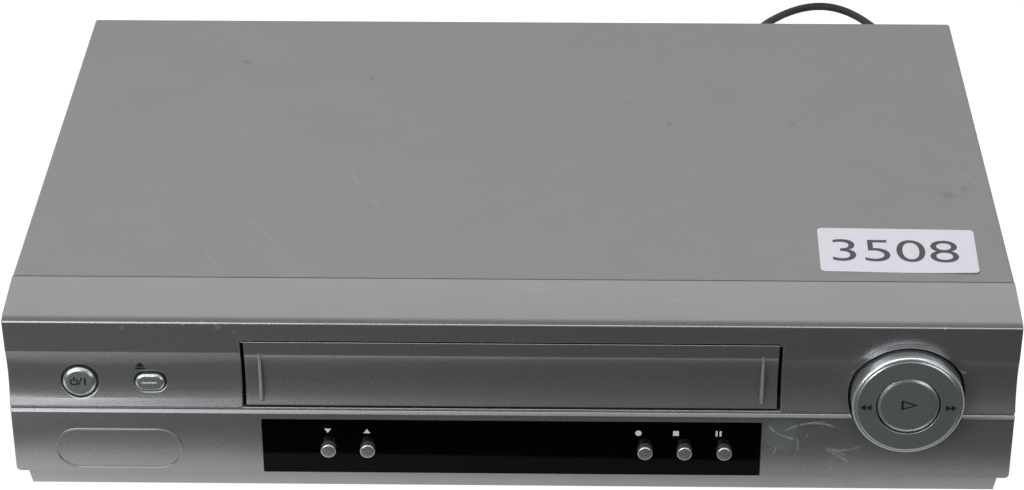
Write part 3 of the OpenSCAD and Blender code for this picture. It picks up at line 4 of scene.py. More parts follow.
import bmesh
import bpy
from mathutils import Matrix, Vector


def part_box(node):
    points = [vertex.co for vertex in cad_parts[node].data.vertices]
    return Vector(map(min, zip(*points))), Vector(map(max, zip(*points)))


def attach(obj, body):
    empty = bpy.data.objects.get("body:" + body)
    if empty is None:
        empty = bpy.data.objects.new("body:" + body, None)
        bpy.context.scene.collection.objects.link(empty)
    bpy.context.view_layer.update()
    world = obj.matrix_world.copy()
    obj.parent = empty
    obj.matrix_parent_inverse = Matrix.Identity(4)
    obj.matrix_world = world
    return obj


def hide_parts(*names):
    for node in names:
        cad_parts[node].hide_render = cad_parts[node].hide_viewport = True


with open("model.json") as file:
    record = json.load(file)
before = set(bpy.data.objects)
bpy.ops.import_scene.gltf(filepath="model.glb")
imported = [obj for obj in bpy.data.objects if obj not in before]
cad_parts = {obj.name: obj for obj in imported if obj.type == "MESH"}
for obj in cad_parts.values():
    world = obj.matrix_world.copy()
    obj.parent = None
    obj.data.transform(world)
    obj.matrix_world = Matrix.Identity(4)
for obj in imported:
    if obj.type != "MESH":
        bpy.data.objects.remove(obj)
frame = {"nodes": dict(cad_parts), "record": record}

scene = bpy.context.scene
nodes = frame["nodes"]
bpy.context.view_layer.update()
body_of = {name: body for body, held in frame["record"]["behaviour"]["bodies"].items() for name in held}
slot_of = {part["node"]: part["material_slot"] for part in frame["record"]["subparts"]}

# Sizes are in millimetres, as the maker's drawing has them: X from the middle,
# Y back from the front top edge, Z up from the floor.
MM = 0.001
FRONT_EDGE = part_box("front_panel")[0].y
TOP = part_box("top_cover")[1].z / MM


def place(x, y, z):
    return Vector((x * MM, FRONT_EDGE + y * MM, z * MM))


def add_object(name, data):
    obj = bpy.data.objects.new(name, data)
    scene.collection.objects.link(obj)
    return obj


def plain_mesh(obj):
    """The mesh that an object comes out as; the object goes."""
    mesh = bpy.data.meshes.new_from_object(obj.evaluated_get(bpy.context.evaluated_depsgraph_get()))
    bpy.data.objects.remove(obj)
    return mesh


# Camera: in front and above, about 29 degrees down, a little to the right
LENS = 107.356
CAMERA_AT = (0.01839, -1.04949, 0.62644)
CAMERA_TURN = (60.992, 0.1338, 1.0343)


def make_camera():
    data = bpy.data.cameras.new("front_camera")
    data.lens = LENS
    data.sensor_width = 36
    data.sensor_fit = "HORIZONTAL"
    data.clip_start = 0.01
    camera = add_object("front_camera", data)
    camera.location = CAMERA_AT
    camera.rotation_euler = [math.radians(a) for a in CAMERA_TURN]
    scene.camera = camera


make_camera()

# Mains cord: out of the back, down to the floor, a bend and a round coil
CORD_R = 1.85
CORD_EXIT = (144, 268.2, 23)
FLOOR_Z = CORD_R
LEAD = [
    CORD_EXIT, (144, 275.2, 22.4), (144.2, 283, 19.6), (144.8, 292, 14), (146.2, 301, 8.4),
    (148.8, 311, 3.8), (152.6, 321.5, FLOOR_Z + 0.1),
]
LEAD += [(x, y, FLOOR_Z) for x, y in (
    (157.4, 332.5), (162.4, 345.5), (167, 361), (170.6, 377), (172.3, 392), (171.6, 406), (169.2, 415.5),
    (165.5, 423.4), (160.7, 431.9), (154.6, 439.1), (148.1, 443.1), (141.2, 443.8), (133.9, 441.2),
    (126.7, 435.9), (121, 429.9), (115.9, 423.4), (112, 415.5), (110, 406), (109.5, 396), (109.5, 381))]
COIL_R = 28.6
COIL_PITCH = 4.2
COIL_TURNS = 4
COIL_STEPS = 24
COIL_RISE = 8
COIL_AT = (80.9, 366)
COIL_TAIL = [(109.5, 360, FLOOR_Z + COIL_PITCH), (109.5, 352, 6.1), (109.5, 344, 6.5), (109.5, 334, 7)]


def coil_points():
    half = COIL_TURNS * COIL_STEPS
    inner = COIL_R - COIL_PITCH * (COIL_TURNS - 1)
    points = []
    for i in range(2 * half + 1):
        turn = -2 * math.pi * i / COIL_STEPS
        if i <= half:
            radius = COIL_R - (COIL_R - inner) * min(1, i / (half - COIL_STEPS))
        else:
            radius = inner + (COIL_R - inner) * max(0, (i - half - COIL_RISE) / (half - COIL_RISE))
        climb = max(0, min(1, (i - half) / COIL_RISE))
        rise = COIL_PITCH * climb * climb * (3 - 2 * climb)
        points.append((COIL_AT[0] + radius * math.cos(turn), COIL_AT[1] + radius * math.sin(turn),
                       FLOOR_Z + rise))
    return points


def smooth_line(points, steps):
    """Points on a smooth curve through the given ones."""
    last = len(points) - 1
    line = []
    for i in range(last):
        a, b, c, d = (Vector(points[k]) for k in (max(0, i - 1), i, i + 1, min(last, i + 2)))
        for j in range(steps):
            t = j / steps
            line.append(0.5 * (2 * b + (c - a) * t + (2 * a - 5 * b + 4 * c - d) * t ** 2
                               + (3 * b - a - 3 * c + d) * t ** 3))
    line.append(Vector(points[last]))
    for p in line:
        p.z = max(p.z, FLOOR_Z)
    return line


def make_cord():
    line = smooth_line(LEAD + coil_points() + COIL_TAIL, 4)
    data = bpy.data.curves.new("mains_cord", "CURVE")
    data.dimensions = "3D"
    data.bevel_depth = CORD_R * MM
    data.bevel_resolution = 4
    data.use_fill_caps = True
    spline = data.splines.new("POLY")
    spline.points.add(len(line) - 1)
    for point, p in zip(spline.points, line):
        point.co = (*place(*p), 1)
    spline.use_smooth = True
    mesh = plain_mesh(add_object("mains_cord_line", data))
    for face in mesh.polygons:
        face.use_smooth = True
    cord = add_object("mains_cord", mesh)
    length = sum((b - a).length for a, b in zip(line, line[1:])) * MM
    print("cord length", round(length, 4))
    return cord, length, [place(*p) for p in line]


cord, cord_length, cord_path = make_cord()
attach(cord, "chassis")
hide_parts("mains_lead", "mains_coil")


# Node trees
def join(tree, value, socket):
    if isinstance(value, bpy.types.NodeSocket):
        tree.links.new(value, socket)
    elif value is not None:
        socket.default_value = value


def node(tree, kind, **values):
    """A new node; in_ and the name or number of an input sets it or links it."""
    n = tree.nodes.new(kind)
    for key, value in values.items():
        if key.startswith("in_"):
            label = key[3:]
            join(tree, value, n.inputs[int(label) if label.isdigit() else label.replace("_", " ")])
        else:
            setattr(n, key, value)
    return n


def math_node(tree, operation, a, b=None, c=None, clamp=False):
    return node(tree, "ShaderNodeMath", operation=operation, use_clamp=clamp, in_0=a, in_1=b,
                in_2=c).outputs[0]


def times(tree, a, b, clamp=False):
    return math_node(tree, "MULTIPLY", a, b, clamp=clamp)


def minus(tree, a, b, clamp=False):
    return math_node(tree, "SUBTRACT", a, b, clamp=clamp)


def most(tree, *values):
    total = values[0]
    for value in values[1:]:
        total = math_node(tree, "MAXIMUM", total, value)
    return total


def ramp(tree, value, low, high, to_low=0.0, to_high=1.0):
    return node(tree, "ShaderNodeMapRange", in_0=value, in_1=low, in_2=high, in_3=to_low,
                in_4=to_high).outputs[0]


def blend(tree, mask, below, above):
    below, above = (c if isinstance(c, bpy.types.NodeSocket) else (*c, 1) for c in (below, above))
    return node(tree, "ShaderNodeMix", data_type="RGBA", in_0=mask, in_6=below, in_7=above).outputs[2]


def axes(tree, at):
    return node(tree, "ShaderNodeSeparateXYZ", in_0=at).outputs


def ray_kinds(tree):
    """The masks of the camera's rays and of the mirrored ones."""
    path = node(tree, "ShaderNodeLightPath").outputs
    return path["Is Camera Ray"], most(tree, path["Is Glossy Ray"], path["Is Transmission Ray"])


# Studio: a white table that ends just in front of the deck and a dim room beyond it, both
# brighter at the left. A big soft light is above, two are in front and one is low at each side.
ROOM_DIM = 0.045
ROOM_DIM_LEFT = 0.12
ROOM_FADE = (-0.18, -0.03)
ROOM_TINT = (0.93, 1, 0.99)
SKY = 0.72
SKY_RISE = (0.25, 0.62)
BACK_RISE = (-0.25, 0.25)
CEILING = 0.2
CEILING_RISE = (0.72, 0.93)
TABLE_FRONT = 27
TABLE_SKEW = 0.015
TABLE_BACK = 1200
TABLE_SIDE = 1200
TABLE_PAPER = (0.8, 0.8, 0.8, 1)
GLOW_LEFT, GLOW_RIGHT, GLOW_SEEN = 1.1, 0.48, 1.15
GLOW_FADE = (-0.19, 0.02)
GLOW_SHARE_SEEN, GLOW_SHARE_MIRRORED = 0.88, 0.75


def make_world():
    world = bpy.data.worlds.new("studio")
    world.use_nodes = True
    tree = world.node_tree
    tree.nodes.clear()
    x, y, z = axes(tree, node(tree, "ShaderNodeTexCoord").outputs["Generated"])
    seen, mirrored = ray_kinds(tree)
    lit = most(tree, ramp(tree, z, *SKY_RISE), ramp(tree, y, *BACK_RISE))
    reflected = times(tree, mirrored, times(tree, lit, ramp(tree, z, *CEILING_RISE, 1, CEILING)))
    diffuse = times(tree, ramp(tree, lit, 0, 1, ROOM_DIM, SKY), minus(tree, 1, mirrored))
    room = ramp(tree, x, *ROOM_FADE, ROOM_DIM_LEFT, ROOM_DIM)
    tint = blend(tree, most(tree, lit, seen), ROOM_TINT, (1, 1, 1))
    background = node(tree, "ShaderNodeBackground", in_Color=tint,
                      in_Strength=most(tree, diffuse, reflected, seen, room))
    node(tree, "ShaderNodeOutputWorld", in_0=background.outputs[0])
    scene.world = world


def area_light(name, at, aim, size, power, mirrored=True):
    data = bpy.data.lights.new(name, "AREA")
    data.shape = "RECTANGLE"
    data.size, data.size_y = size
    data.energy = power
    lamp = add_object(name, data)
    lamp.location = at
    lamp.rotation_euler = (Vector(aim) - Vector(at)).to_track_quat("-Z", "Y").to_euler()
    lamp.visible_glossy = mirrored


def make_table():
    mesh = bpy.data.meshes.new("table_top")
    skew = TABLE_SKEW * TABLE_SIDE
    corners = [place(-TABLE_SIDE, -TABLE_FRONT - skew, 0), place(TABLE_SIDE, -TABLE_FRONT + skew, 0),
               place(TABLE_SIDE, TABLE_BACK, 0), place(-TABLE_SIDE, TABLE_BACK, 0)]
    mesh.from_pydata(corners, [], [(0, 1, 2, 3)])
    table = add_object("table_top", mesh)
    mat = bpy.data.materials.new("table_white")
    mat.use_nodes = True
    tree = mat.node_tree
    tree.nodes.clear()
    seen, mirrored = ray_kinds(tree)
    share = most(tree, times(tree, seen, GLOW_SHARE_SEEN), times(tree, mirrored, GLOW_SHARE_MIRRORED))
    x, _, _ = axes(tree, node(tree, "ShaderNodeTexCoord").outputs["Object"])
    strength = most(tree, ramp(tree, x, *GLOW_FADE, GLOW_LEFT, GLOW_RIGHT), times(tree, seen, GLOW_SEEN))
    paper = node(tree, "ShaderNodeBsdfDiffuse", in_Color=TABLE_PAPER)
    glow = node(tree, "ShaderNodeEmission", in_Strength=strength)
    mix = node(tree, "ShaderNodeMixShader", in_0=share, in_1=paper.outputs[0], in_2=glow.outputs[0])
    node(tree, "ShaderNodeOutputMaterial", in_0=mix.outputs[0])
    mesh.materials.append(mat)


make_world()
make_table()
area_light("overhead_softbox", (-0.4, 0.1, 1.5), (0, 0, 0), (1.6, 1.2), 6.0, mirrored=False)
area_light("front_softbox", (0, -0.75, 1.05), (0, -0.1, 0.05), (1.5, 0.35), 4.6)
area_light("front_left_softbox", (-0.62, -0.75, 1.05), (-0.4, -0.1, 0.05), (0.9, 0.35), 2.0)
area_light("left_softbox", (-0.62, -0.9, 0.25), (-0.42, 0, 0.03), (0.8, 0.4), 4.2)
area_light("right_softbox", (0.72, -0.95, 0.22), (0.5, 0, 0.03), (0.6, 0.4), 1.2)

scene.view_settings.view_transform = "Standard"


# Effects that the finishes share
def effect(name, outputs=("Mask",), **inputs):
    """A node group that takes a place and more, with the sockets that it takes and gives."""
    tree = bpy.data.node_groups.new(name, "ShaderNodeTree")
    for label, value in {"Place": (0, 0, 0), **inputs}.items():
        kind = "NodeSocketVector" if isinstance(value, tuple) else "NodeSocketFloat"
        tree.interface.new_socket(label, in_out="INPUT", socket_type=kind).default_value = value
    for label in outputs:
        tree.interface.new_socket(label, in_out="OUTPUT", socket_type="NodeSocketFloat")
    return tree, tree.nodes.new("NodeGroupInput").outputs, tree.nodes.new("NodeGroupOutput").inputs


def noise(tree, at, scale, detail=2.0, rough=0.55):
    return node(tree, "ShaderNodeTexNoise", in_Vector=at, in_Scale=scale, in_Detail=detail,
                in_Roughness=rough).outputs["Fac"]


def scaled(tree, at, by):
    return node(tree, "ShaderNodeVectorMath", operation="MULTIPLY", in_0=at, in_1=by).outputs[0]


def distance(tree, a, b):
    return node(tree, "ShaderNodeVectorMath", operation="DISTANCE", in_0=a, in_1=b).outputs["Value"]


def nearness(tree, gap, reach, clamp=False):
    """1 where there is no gap, down to 0 at the reach."""
    return minus(tree, 1, math_node(tree, "DIVIDE", gap, reach), clamp)


def make_grain():
    """Even speckle; Size is in millimetres."""
    tree, given, out = effect("grain", ("Tone", "Height"), Size=0.5)
    speckle = noise(tree, given["Place"], math_node(tree, "DIVIDE", 1 / MM, given["Size"]))
    join(tree, ramp(tree, speckle, 0.3, 0.7), out["Tone"])
    join(tree, speckle, out["Height"])
    return tree


def make_hair_lines():
    """Sparse thin scratches along X; Rare is how few there are."""
    tree, given, out = effect("hair_lines", Rare=0.7)
    at = given["Place"]
    bend = node(tree, "ShaderNodeTexNoise", in_Vector=at, in_Scale=14, in_Detail=1).outputs["Color"]
    bent = node(tree, "ShaderNodeVectorMath", operation="MULTIPLY_ADD", in_0=bend, in_1=(0.012,) * 3, in_2=at)
    streak = noise(tree, scaled(tree, bent.outputs[0], (9, 420, 420)), 1, 1)
    sharp = times(tree, minus(tree, streak, given["Rare"]), 25, clamp=True)
    gate = ramp(tree, noise(tree, at, 22), 0.5, 0.58)
    join(tree, times(tree, sharp, gate), out["Mask"])
    return tree


def make_dust():
    """Dust that lies on faces which look up."""
    tree, given, out = effect("dust", Amount=0.5)
    _, _, up = axes(tree, node(tree, "ShaderNodeNewGeometry").outputs["Normal"])
    specks = ramp(tree, noise(tree, given["Place"], 160, 6, 0.7), 0.42, 0.8)
    join(tree, times(tree, times(tree, ramp(tree, up, 0.4, 1), specks), given["Amount"]), out["Mask"])
    return tree


def make_rub():
    """A rubbed or chipped patch round Centre; Ragged is how torn its edge is."""
    tree, given, out = effect("rub", Centre=(0, 0, 0), Reach=0.01, Ragged=0.5)
    near = nearness(tree, distance(tree, given["Place"], given["Centre"]), given["Reach"])
    flecks = minus(tree, noise(tree, given["Place"], 900, 4, 0.6), 0.5)
    torn = math_node(tree, "MULTIPLY_ADD", flecks, times(tree, given["Ragged"], 6), near)
    join(tree, ramp(tree, torn, 0.35, 0.6), out["Mask"])
    return tree


def make_arc_scuff():
    """A curved scratch in the plane of the front: part of a circle round Centre, near Middle.
    Width is in millimetres."""
    tree, given, out = effect("arc_scuff", Centre=(0, 0, 0), Radius=0.02, Middle=(0, 0, 0), Reach=0.01,
                              Width=0.4)
    flat = scaled(tree, given["Place"], (1, 0, 1))
    off = math_node(tree, "ABSOLUTE", minus(tree, distance(tree, flat, given["Centre"]), given["Radius"]))
    line = nearness(tree, off, times(tree, given["Width"], MM), clamp=True)
    near = nearness(tree, distance(tree, flat, given["Middle"]), given["Reach"], clamp=True)
    broken = ramp(tree, noise(tree, given["Place"], 500, 3), 0.32, 0.55)
    join(tree, times(tree, times(tree, line, times(tree, near, 2.5, clamp=True)), broken), out["Mask"])
    return tree


GRAIN = make_grain()
HAIR_LINES = make_hair_lines()
DUST = make_dust()
RUB = make_rub()
ARC_SCUFF = make_arc_scuff()


def use(tree, group, at, **values):
    n = tree.nodes.new("ShaderNodeGroup")
    n.node_tree = group
    tree.links.new(at, n.inputs["Place"])
    for label, value in values.items():
        n.inputs[label].default_value = value
    return n.outputs


DUST_COLOUR = (0.42, 0.40, 0.37)
DUST_ROUGHER = 0.3
ROUGH_SPREAD = 0.08
BUMP_DEPTH = 0.0002


def finish(name, colour, rough, metal=0.0, grain=0.5, tone=0.06, bump=0.12, blotch=0.04, cloud=30,
           lines=0.0, line_turn=(0.0, 0.0, 0.0), rare=0.7, dust=0.0, marks=(), **sockets):
    """A finish with speckle, broad clouding, fine scratches, dust and its own marks.
    marks is a list of (function that makes a mask, colour, strength, change of roughness)."""
    mat = bpy.data.materials.new(name)
    mat.use_nodes = True
    tree = mat.node_tree
    shade = tree.nodes["Principled BSDF"]
    at = node(tree, "ShaderNodeTexCoord").outputs["Object"]
    fine = use(tree, GRAIN, at, Size=grain)
    broad = use(tree, GRAIN, at, Size=cloud)
    level = math_node(tree, "MULTIPLY_ADD", fine["Tone"], 2 * tone, 1 - tone - blotch)
    level = math_node(tree, "MULTIPLY_ADD", broad["Tone"], 2 * blotch, level)
    shown = node(tree, "ShaderNodeVectorMath", operation="SCALE", in_0=colour, in_Scale=level).outputs[0]
    roughness = math_node(tree, "MULTIPLY_ADD", fine["Tone"], ROUGH_SPREAD, rough - ROUGH_SPREAD / 2)
    if lines:
        along = node(tree, "ShaderNodeMapping", in_Vector=at, in_Rotation=line_turn).outputs[0]
        hair = times(tree, use(tree, HAIR_LINES, along, Rare=rare)["Mask"], lines)
        shown = blend(tree, hair, shown, [min(1, c * 1.7 + 0.05) for c in colour])
    for make_mask, mark_colour, strength, rougher in marks:
        mask = times(tree, make_mask(tree, at), strength)
        shown = blend(tree, mask, shown, mark_colour)
        roughness = math_node(tree, "MULTIPLY_ADD", mask, rougher, roughness, clamp=True)
    if dust:
        lying = use(tree, DUST, at, Amount=dust)["Mask"]
        shown = blend(tree, lying, shown, DUST_COLOUR)
        roughness = math_node(tree, "MULTIPLY_ADD", lying, DUST_ROUGHER, roughness, clamp=True)
    join(tree, shown, shade.inputs["Base Color"])
    join(tree, roughness, shade.inputs["Roughness"])
    for key, value in {"Metallic": metal, **sockets}.items():
        shade.inputs[key.replace("_", " ")].default_value = value
    if bump:
        raised = node(tree, "ShaderNodeBump", in_Strength=bump, in_Distance=BUMP_DEPTH,
                      in_Height=fine["Height"])
        join(tree, raised.outputs[0], shade.inputs["Normal"])
    return mat


# Marks of use: scuffs and a dull patch right of the window, chips on the edges, a smudge in front
# of the label, spots on the cover. Painted light: a painted highlight on the grip ribs and painted
# shade in the slot gap. A place on the front is across and down.
SCUFFS = [
    # centre, radius, middle of the stroke, its half length, width
    ((108.6, 62.5), 17.9, (107.3, 44.6), 11, 0.5),
    ((112, 70), 26, (105.2, 44.9), 9, 0.35),
    ((101, 41), 9.8, (95.9, 49.3), 6, 0.45),
    ((106, 34), 18.2, (98.6, 50.6), 4, 0.3),
    ((118.6, 42.5), 13.8, (119.9, 56.2), 6.8, 0.5),
    ((108, 76), 21.3, (118, 57.2), 5.5, 0.4),
    ((100, 84), 31, (117.6, 58.5), 6, 0.35),
    ((104.5, 49), 2.0, (106, 50.2), 1.8, 0.3),
    ((60, 50), 35.5, (95.5, 56.4), 2.6, 0.3),
    ((140, 62), 24.8, (115.2, 63), 2.6, 0.3),
    ((70, 56), 33.2, (103, 54), 3, 0.25),
]
CHIPS = [(-109, 3.4, 1.35), (-103.5, 5.2, 1.62), (-97.5, 7.6, 1.17), (-94.2, 8.9, 0.9), (-116, 4.6, 0.9),
         (-128, 4.3, 0.72), (-137.5, 6.0, 0.99), (152.6, 4.2, 0.63), (-171, 41.6, 0.63), (61, 4.3, 0.54)]
COVER_MARKS = [(163, 92, 4.4), (-112, 205, 3.2), (60, 150, 2.4), (-60, 190, 2), (170, 98, 2.4), (108, 152, 2)]
SMUDGE = (152.3, 24.8, TOP - 0.2, 6)
HAZE = (97, 2, TOP - 50, 12)
GAP_DOWN, GAP_HALF = 11.65, 96.6
RIB_ACROSS, RIB_MIDDLE = 89.4, 57.5


def on_front(x, down):
    return x * MM, 0, (TOP - down) * MM


def scuff_mask(tree, at):
    return most(tree, *(
        use(tree, ARC_SCUFF, at, Centre=on_front(*centre), Radius=radius * MM, Middle=on_front(*middle),
            Reach=reach * MM, Width=width)["Mask"]
        for centre, radius, middle, reach, width in SCUFFS))


def rubbed(tree, at, spots, ragged=0.5):
    """Rubbed patches, each given by its place and its reach."""
    return most(tree, *(
        use(tree, RUB, at, Centre=tuple(place(x, y, z)), Reach=reach * MM, Ragged=ragged)["Mask"]
        for x, y, z, reach in spots))


def chip_mask(tree, at):
    return rubbed(tree, at, [(x, 0, TOP - down, reach) for x, down, reach in CHIPS])


def cover_mark_mask(tree, at):
    return rubbed(tree, at, [(x, y, TOP, reach) for x, y, reach in COVER_MARKS])


def smudge_mask(tree, at):
    return rubbed(tree, at, [SMUDGE], 0.3)


def haze_mask(tree, at):
    return rubbed(tree, at, [HAZE], 0.12)


def band(tree, value, middle, near, far):
    """1 within near of the middle, 0 beyond far; the value is in metres."""
    off = math_node(tree, "ABSOLUTE", minus(tree, value, middle * MM))
    return ramp(tree, off, near * MM, far * MM, 1, 0)


def slot_gap_painted_shade_mask(tree, at):
    """Painted shade: the surfaces in the gap under the slot's upper rim, behind the face, are painted near
    black where shade falls between panel and flap.
    """
    x, y, z = axes(tree, at)
    inside = ramp(tree, y, FRONT_EDGE + 0.9 * MM, FRONT_EDGE + 0.96 * MM)
    level = band(tree, z, TOP - GAP_DOWN, 0.42, 0.46)
    return times(tree, inside, times(tree, level, band(tree, x, 0, GAP_HALF, GAP_HALF + 0.2)))


def rib_painted_highlight_mask(tree, at):
    """Painted highlight: the fronts of the flap's grip ribs are painted lighter, in place of the light they
    catch.
    """
    x, y, z = axes(tree, at)
    side = band(tree, math_node(tree, "ABSOLUTE", x), RIB_ACROSS, 0.3, 1.2)
    before = ramp(tree, y, FRONT_EDGE + 1.3 * MM, FRONT_EDGE + 1.5 * MM, 1, 0)
    return times(tree, times(tree, side, band(tree, z, RIB_MIDDLE, 9, 10.5)), before)


def track_mask(tree, at):
    """Copper tracks under the lacquer of a board."""
    bricks = node(tree, "ShaderNodeTexBrick", in_Vector=at, in_Scale=180, in_Mortar_Size=0.012, in_Bias=0.1,
                  in_Color1=(0, 0, 0, 1), in_Color2=(0, 0, 0, 1), in_Mortar=(1, 1, 1, 1))
    return times(tree, bricks.outputs["Fac"], ramp(tree, noise(tree, at, 60), 0.45, 0.5))


def seam_mask(tree, at):
    """Fine lines round a turned part."""
    return node(tree, "ShaderNodeTexWave", wave_type="BANDS", bands_direction="Z", in_Vector=at, in_Scale=500,
                in_Distortion=0.6).outputs["Fac"]


SILVER_MARKS = [
    (scuff_mask, (0.75, 0.80, 0.80), 0.8, 0.3), (chip_mask, (0.6, 0.62, 0.6), 0.4, 0.3),
    (smudge_mask, (0.42, 0.42, 0.40), 0.35, 0.2), (haze_mask, (0.42, 0.46, 0.45), 0.35, 0.15),
    # The near black in the slot gap is painted shade, and the lighter grip ribs are a painted highlight.
    (slot_gap_painted_shade_mask, (0.01, 0.01, 0.01), 1.0, 0.4), (rib_painted_highlight_mask, (0.62, 0.65, 0.65), 0.6, 0.25),
]
LOOKS = {
    "cover_paint": dict(colour=(0.194, 0.195, 0.196), rough=0.52, grain=0.45, tone=0.07, bump=0.22,
                        blotch=0.015, lines=0.10, line_turn=(0, 0, 1.15), dust=0.04,
                        Specular_IOR_Level=0.35,
                        marks=[(cover_mark_mask, (0.14, 0.14, 0.14), 0.7, 0.1)]),
    "silver_plastic": dict(colour=(0.325, 0.328, 0.34), rough=0.28, metal=0.84, grain=0.22, tone=0.03,
                           bump=0.02, blotch=0.02, lines=0.12, rare=0.72, dust=0.05, marks=SILVER_MARKS),
    "plinth": dict(colour=(0.33, 0.335, 0.335), rough=0.42, metal=0.35, grain=0.3, tone=0.05, bump=0.08,
                   dust=0.06),
    "key_silver": dict(colour=(0.58, 0.60, 0.61), rough=0.27, metal=0.92, grain=0.2, tone=0.03, bump=0.015,
                       lines=0.1),
    "window_black": dict(colour=(0.0006, 0.0006, 0.0006), rough=0.07, grain=3, tone=0.2, bump=0.0, lines=0.12,
                         rare=0.74, Specular_IOR_Level=0.085),
    "foot_rubber": dict(colour=(0.02, 0.02, 0.02), rough=0.82, grain=0.6, tone=0.2, bump=0.4),
    "black_plastic": dict(colour=(0.024, 0.024, 0.025), rough=0.5, tone=0.15, bump=0.3, dust=0.15),
    "white_plastic": dict(colour=(0.68, 0.66, 0.60), rough=0.4, grain=1.2, tone=0.04, bump=0.1, blotch=0.05,
                          cloud=9),
    "board_green": dict(colour=(0.028, 0.13, 0.06), rough=0.38, grain=0.8, tone=0.1, bump=0.2,
                        marks=[(track_mask, (0.06, 0.26, 0.10), 0.8, -0.05)]),
    "board_brown": dict(colour=(0.32, 0.20, 0.09), rough=0.5, grain=0.8, tone=0.1, bump=0.2,
                        marks=[(track_mask, (0.22, 0.13, 0.05), 0.8, -0.05)]),
    "tube_glass": dict(colour=(0.045, 0.055, 0.055), rough=0.08, grain=2, tone=0.2, bump=0.0,
                       Coat_Weight=0.5),
    "zinc_steel": dict(colour=(0.55, 0.56, 0.57), rough=0.34, metal=0.9, grain=2.4, tone=0.08, bump=0.06,
                       blotch=0.06, cloud=12, lines=0.3, dust=0.08),
    "screw_steel": dict(colour=(0.60, 0.60, 0.62), rough=0.28, metal=1.0, grain=0.3, tone=0.08, bump=0.1,
                        blotch=0.1, cloud=3),
    "drum_aluminium": dict(colour=(0.66, 0.67, 0.68), rough=0.26, metal=1.0, grain=0.3, tone=0.04, bump=0.05,
                           marks=[(seam_mask, (0.52, 0.53, 0.54), 0.4, 0.05)]),
    "brass_like": dict(colour=(0.58, 0.46, 0.26), rough=0.34, metal=0.9, grain=0.4, tone=0.08, bump=0.1,
                       marks=[(seam_mask, (0.42, 0.30, 0.14), 0.5, 0.1)]),
    "roller_rubber": dict(colour=(0.028, 0.028, 0.03), rough=0.7, tone=0.2, bump=0.3),
    "cord_black": dict(colour=(0.013, 0.013, 0.0115), rough=0.5, grain=0.7, tone=0.2, bump=0.3, dust=0.05),
}
finishes = {slot: finish(slot, **look) for slot, look in LOOKS.items()}
PRINTS = {
    "dark_print": ((0.012, 0.012, 0.013), 0.6),
    "pale_print": ((0.55, 0.57, 0.58), 0.5),
    "label_print": ((0.075, 0.072, 0.085), 0.6),
    "socket_yellow": ((0.75, 0.55, 0.05), 0.4),
    "socket_white": ((0.72, 0.72, 0.69), 0.4),
    "socket_red": ((0.55, 0.03, 0.03), 0.4),
}
for print_name, (colour, rough) in PRINTS.items():
    finishes[print_name] = finish(print_name, colour, rough, grain=0.3, tone=0.08, bump=0.1,
                                  Specular_IOR_Level=0.12)
finishes["label_paper"] = finish("label_paper", (0.60, 0.58, 0.64), 0.75, grain=0.35, tone=0.03, bump=0.25,
                                 blotch=0.02, cloud=8, Specular_IOR_Level=0.2)


def set_finish(obj, mat):
    obj.data.materials.clear()
    obj.data.materials.append(mat)


for name, slot in slot_of.items():
    if name in nodes:
        set_finish(nodes[name], finishes[slot])
set_finish(cord, finishes["cord_black"])


# Shapes
PILL_STEPS = 24
ARC_STEPS = 28


def link_piece(name, mesh, soften):
    """A new object with smooth faces that keep the edges sharper than soften."""
    for face in mesh.polygons:
        face.use_smooth = True
    mesh.set_sharp_from_angle(angle=math.radians(soften))
    obj = add_object(name, mesh)
    weights = obj.modifiers.new("weighted_normals", "WEIGHTED_NORMAL")
    weights.keep_sharp = True
    return obj


def piece_of(name, bm, soften):
    mesh = bpy.data.meshes.new(name)
    bm.to_mesh(mesh)
    bm.free()
    return link_piece(name, mesh, soften)


def close_piece(name, bm, soften=35):
    bmesh.ops.remove_doubles(bm, verts=bm.verts, dist=1e-7)
    bmesh.ops.recalc_face_normals(bm, faces=bm.faces)
    return piece_of(name, bm, soften)


def stand_for(obj, name):
    """The piece takes the place of a CAD node, on its body and in its finish."""
    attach(obj, body_of[name])
    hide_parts(name)
    set_finish(obj, finishes[slot_of[name]])


def add_on(obj, name, finish_name):
    """An extra piece that moves with a CAD node."""
    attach(obj, body_of[name])
    set_finish(obj, finishes[finish_name])


def frame_point(co):
    return co.x / MM, (co.y - FRONT_EDGE) / MM, co.z / MM


def dress(name, rounds=()):
    """Put a merged copy whose chosen edges are rounded in the place of a CAD node.
    rounds is a list of (width, segments, test of an edge's two points)."""
    bm = bmesh.new()
    bm.from_mesh(nodes[name].data)
    bmesh.ops.remove_doubles(bm, verts=bm.verts, dist=1e-6)
    bmesh.ops.dissolve_limit(bm, angle_limit=math.radians(0.5), verts=bm.verts, edges=bm.edges)
    for width, segments, chosen in rounds:
        edges = [e for e in bm.edges if e.is_manifold and e.calc_face_angle() > math.radians(30)
                 and chosen(*(frame_point(v.co) for v in e.verts))]
        print(name, "rounds", len(edges), "edges by", width)
        bmesh.ops.bevel(bm, geom=edges, offset=width * MM, offset_type="OFFSET", segments=segments,
                        profile=0.5, affect="EDGES", clamp_overlap=False)
    shell = piece_of(name + "_shell", bm, 32)
    stand_for(shell, name)
    return shell


def loft(bm, rings, around=False):
    """Walls between rings of points, with flat ends unless the last ring meets the first."""
    rows = [[bm.verts.new(place(*p)) for p in ring] for ring in rings]
    for low, high in zip(rows, rows[1:] + rows[:1] if around else rows[1:]):
        for i, a in enumerate(low):
            j = (i + 1) % len(low)
            bm.faces.new((a, low[j], high[j], high[i]))
    if not around:
        bm.faces.new(rows[0])
        bm.faces.new(rows[-1])


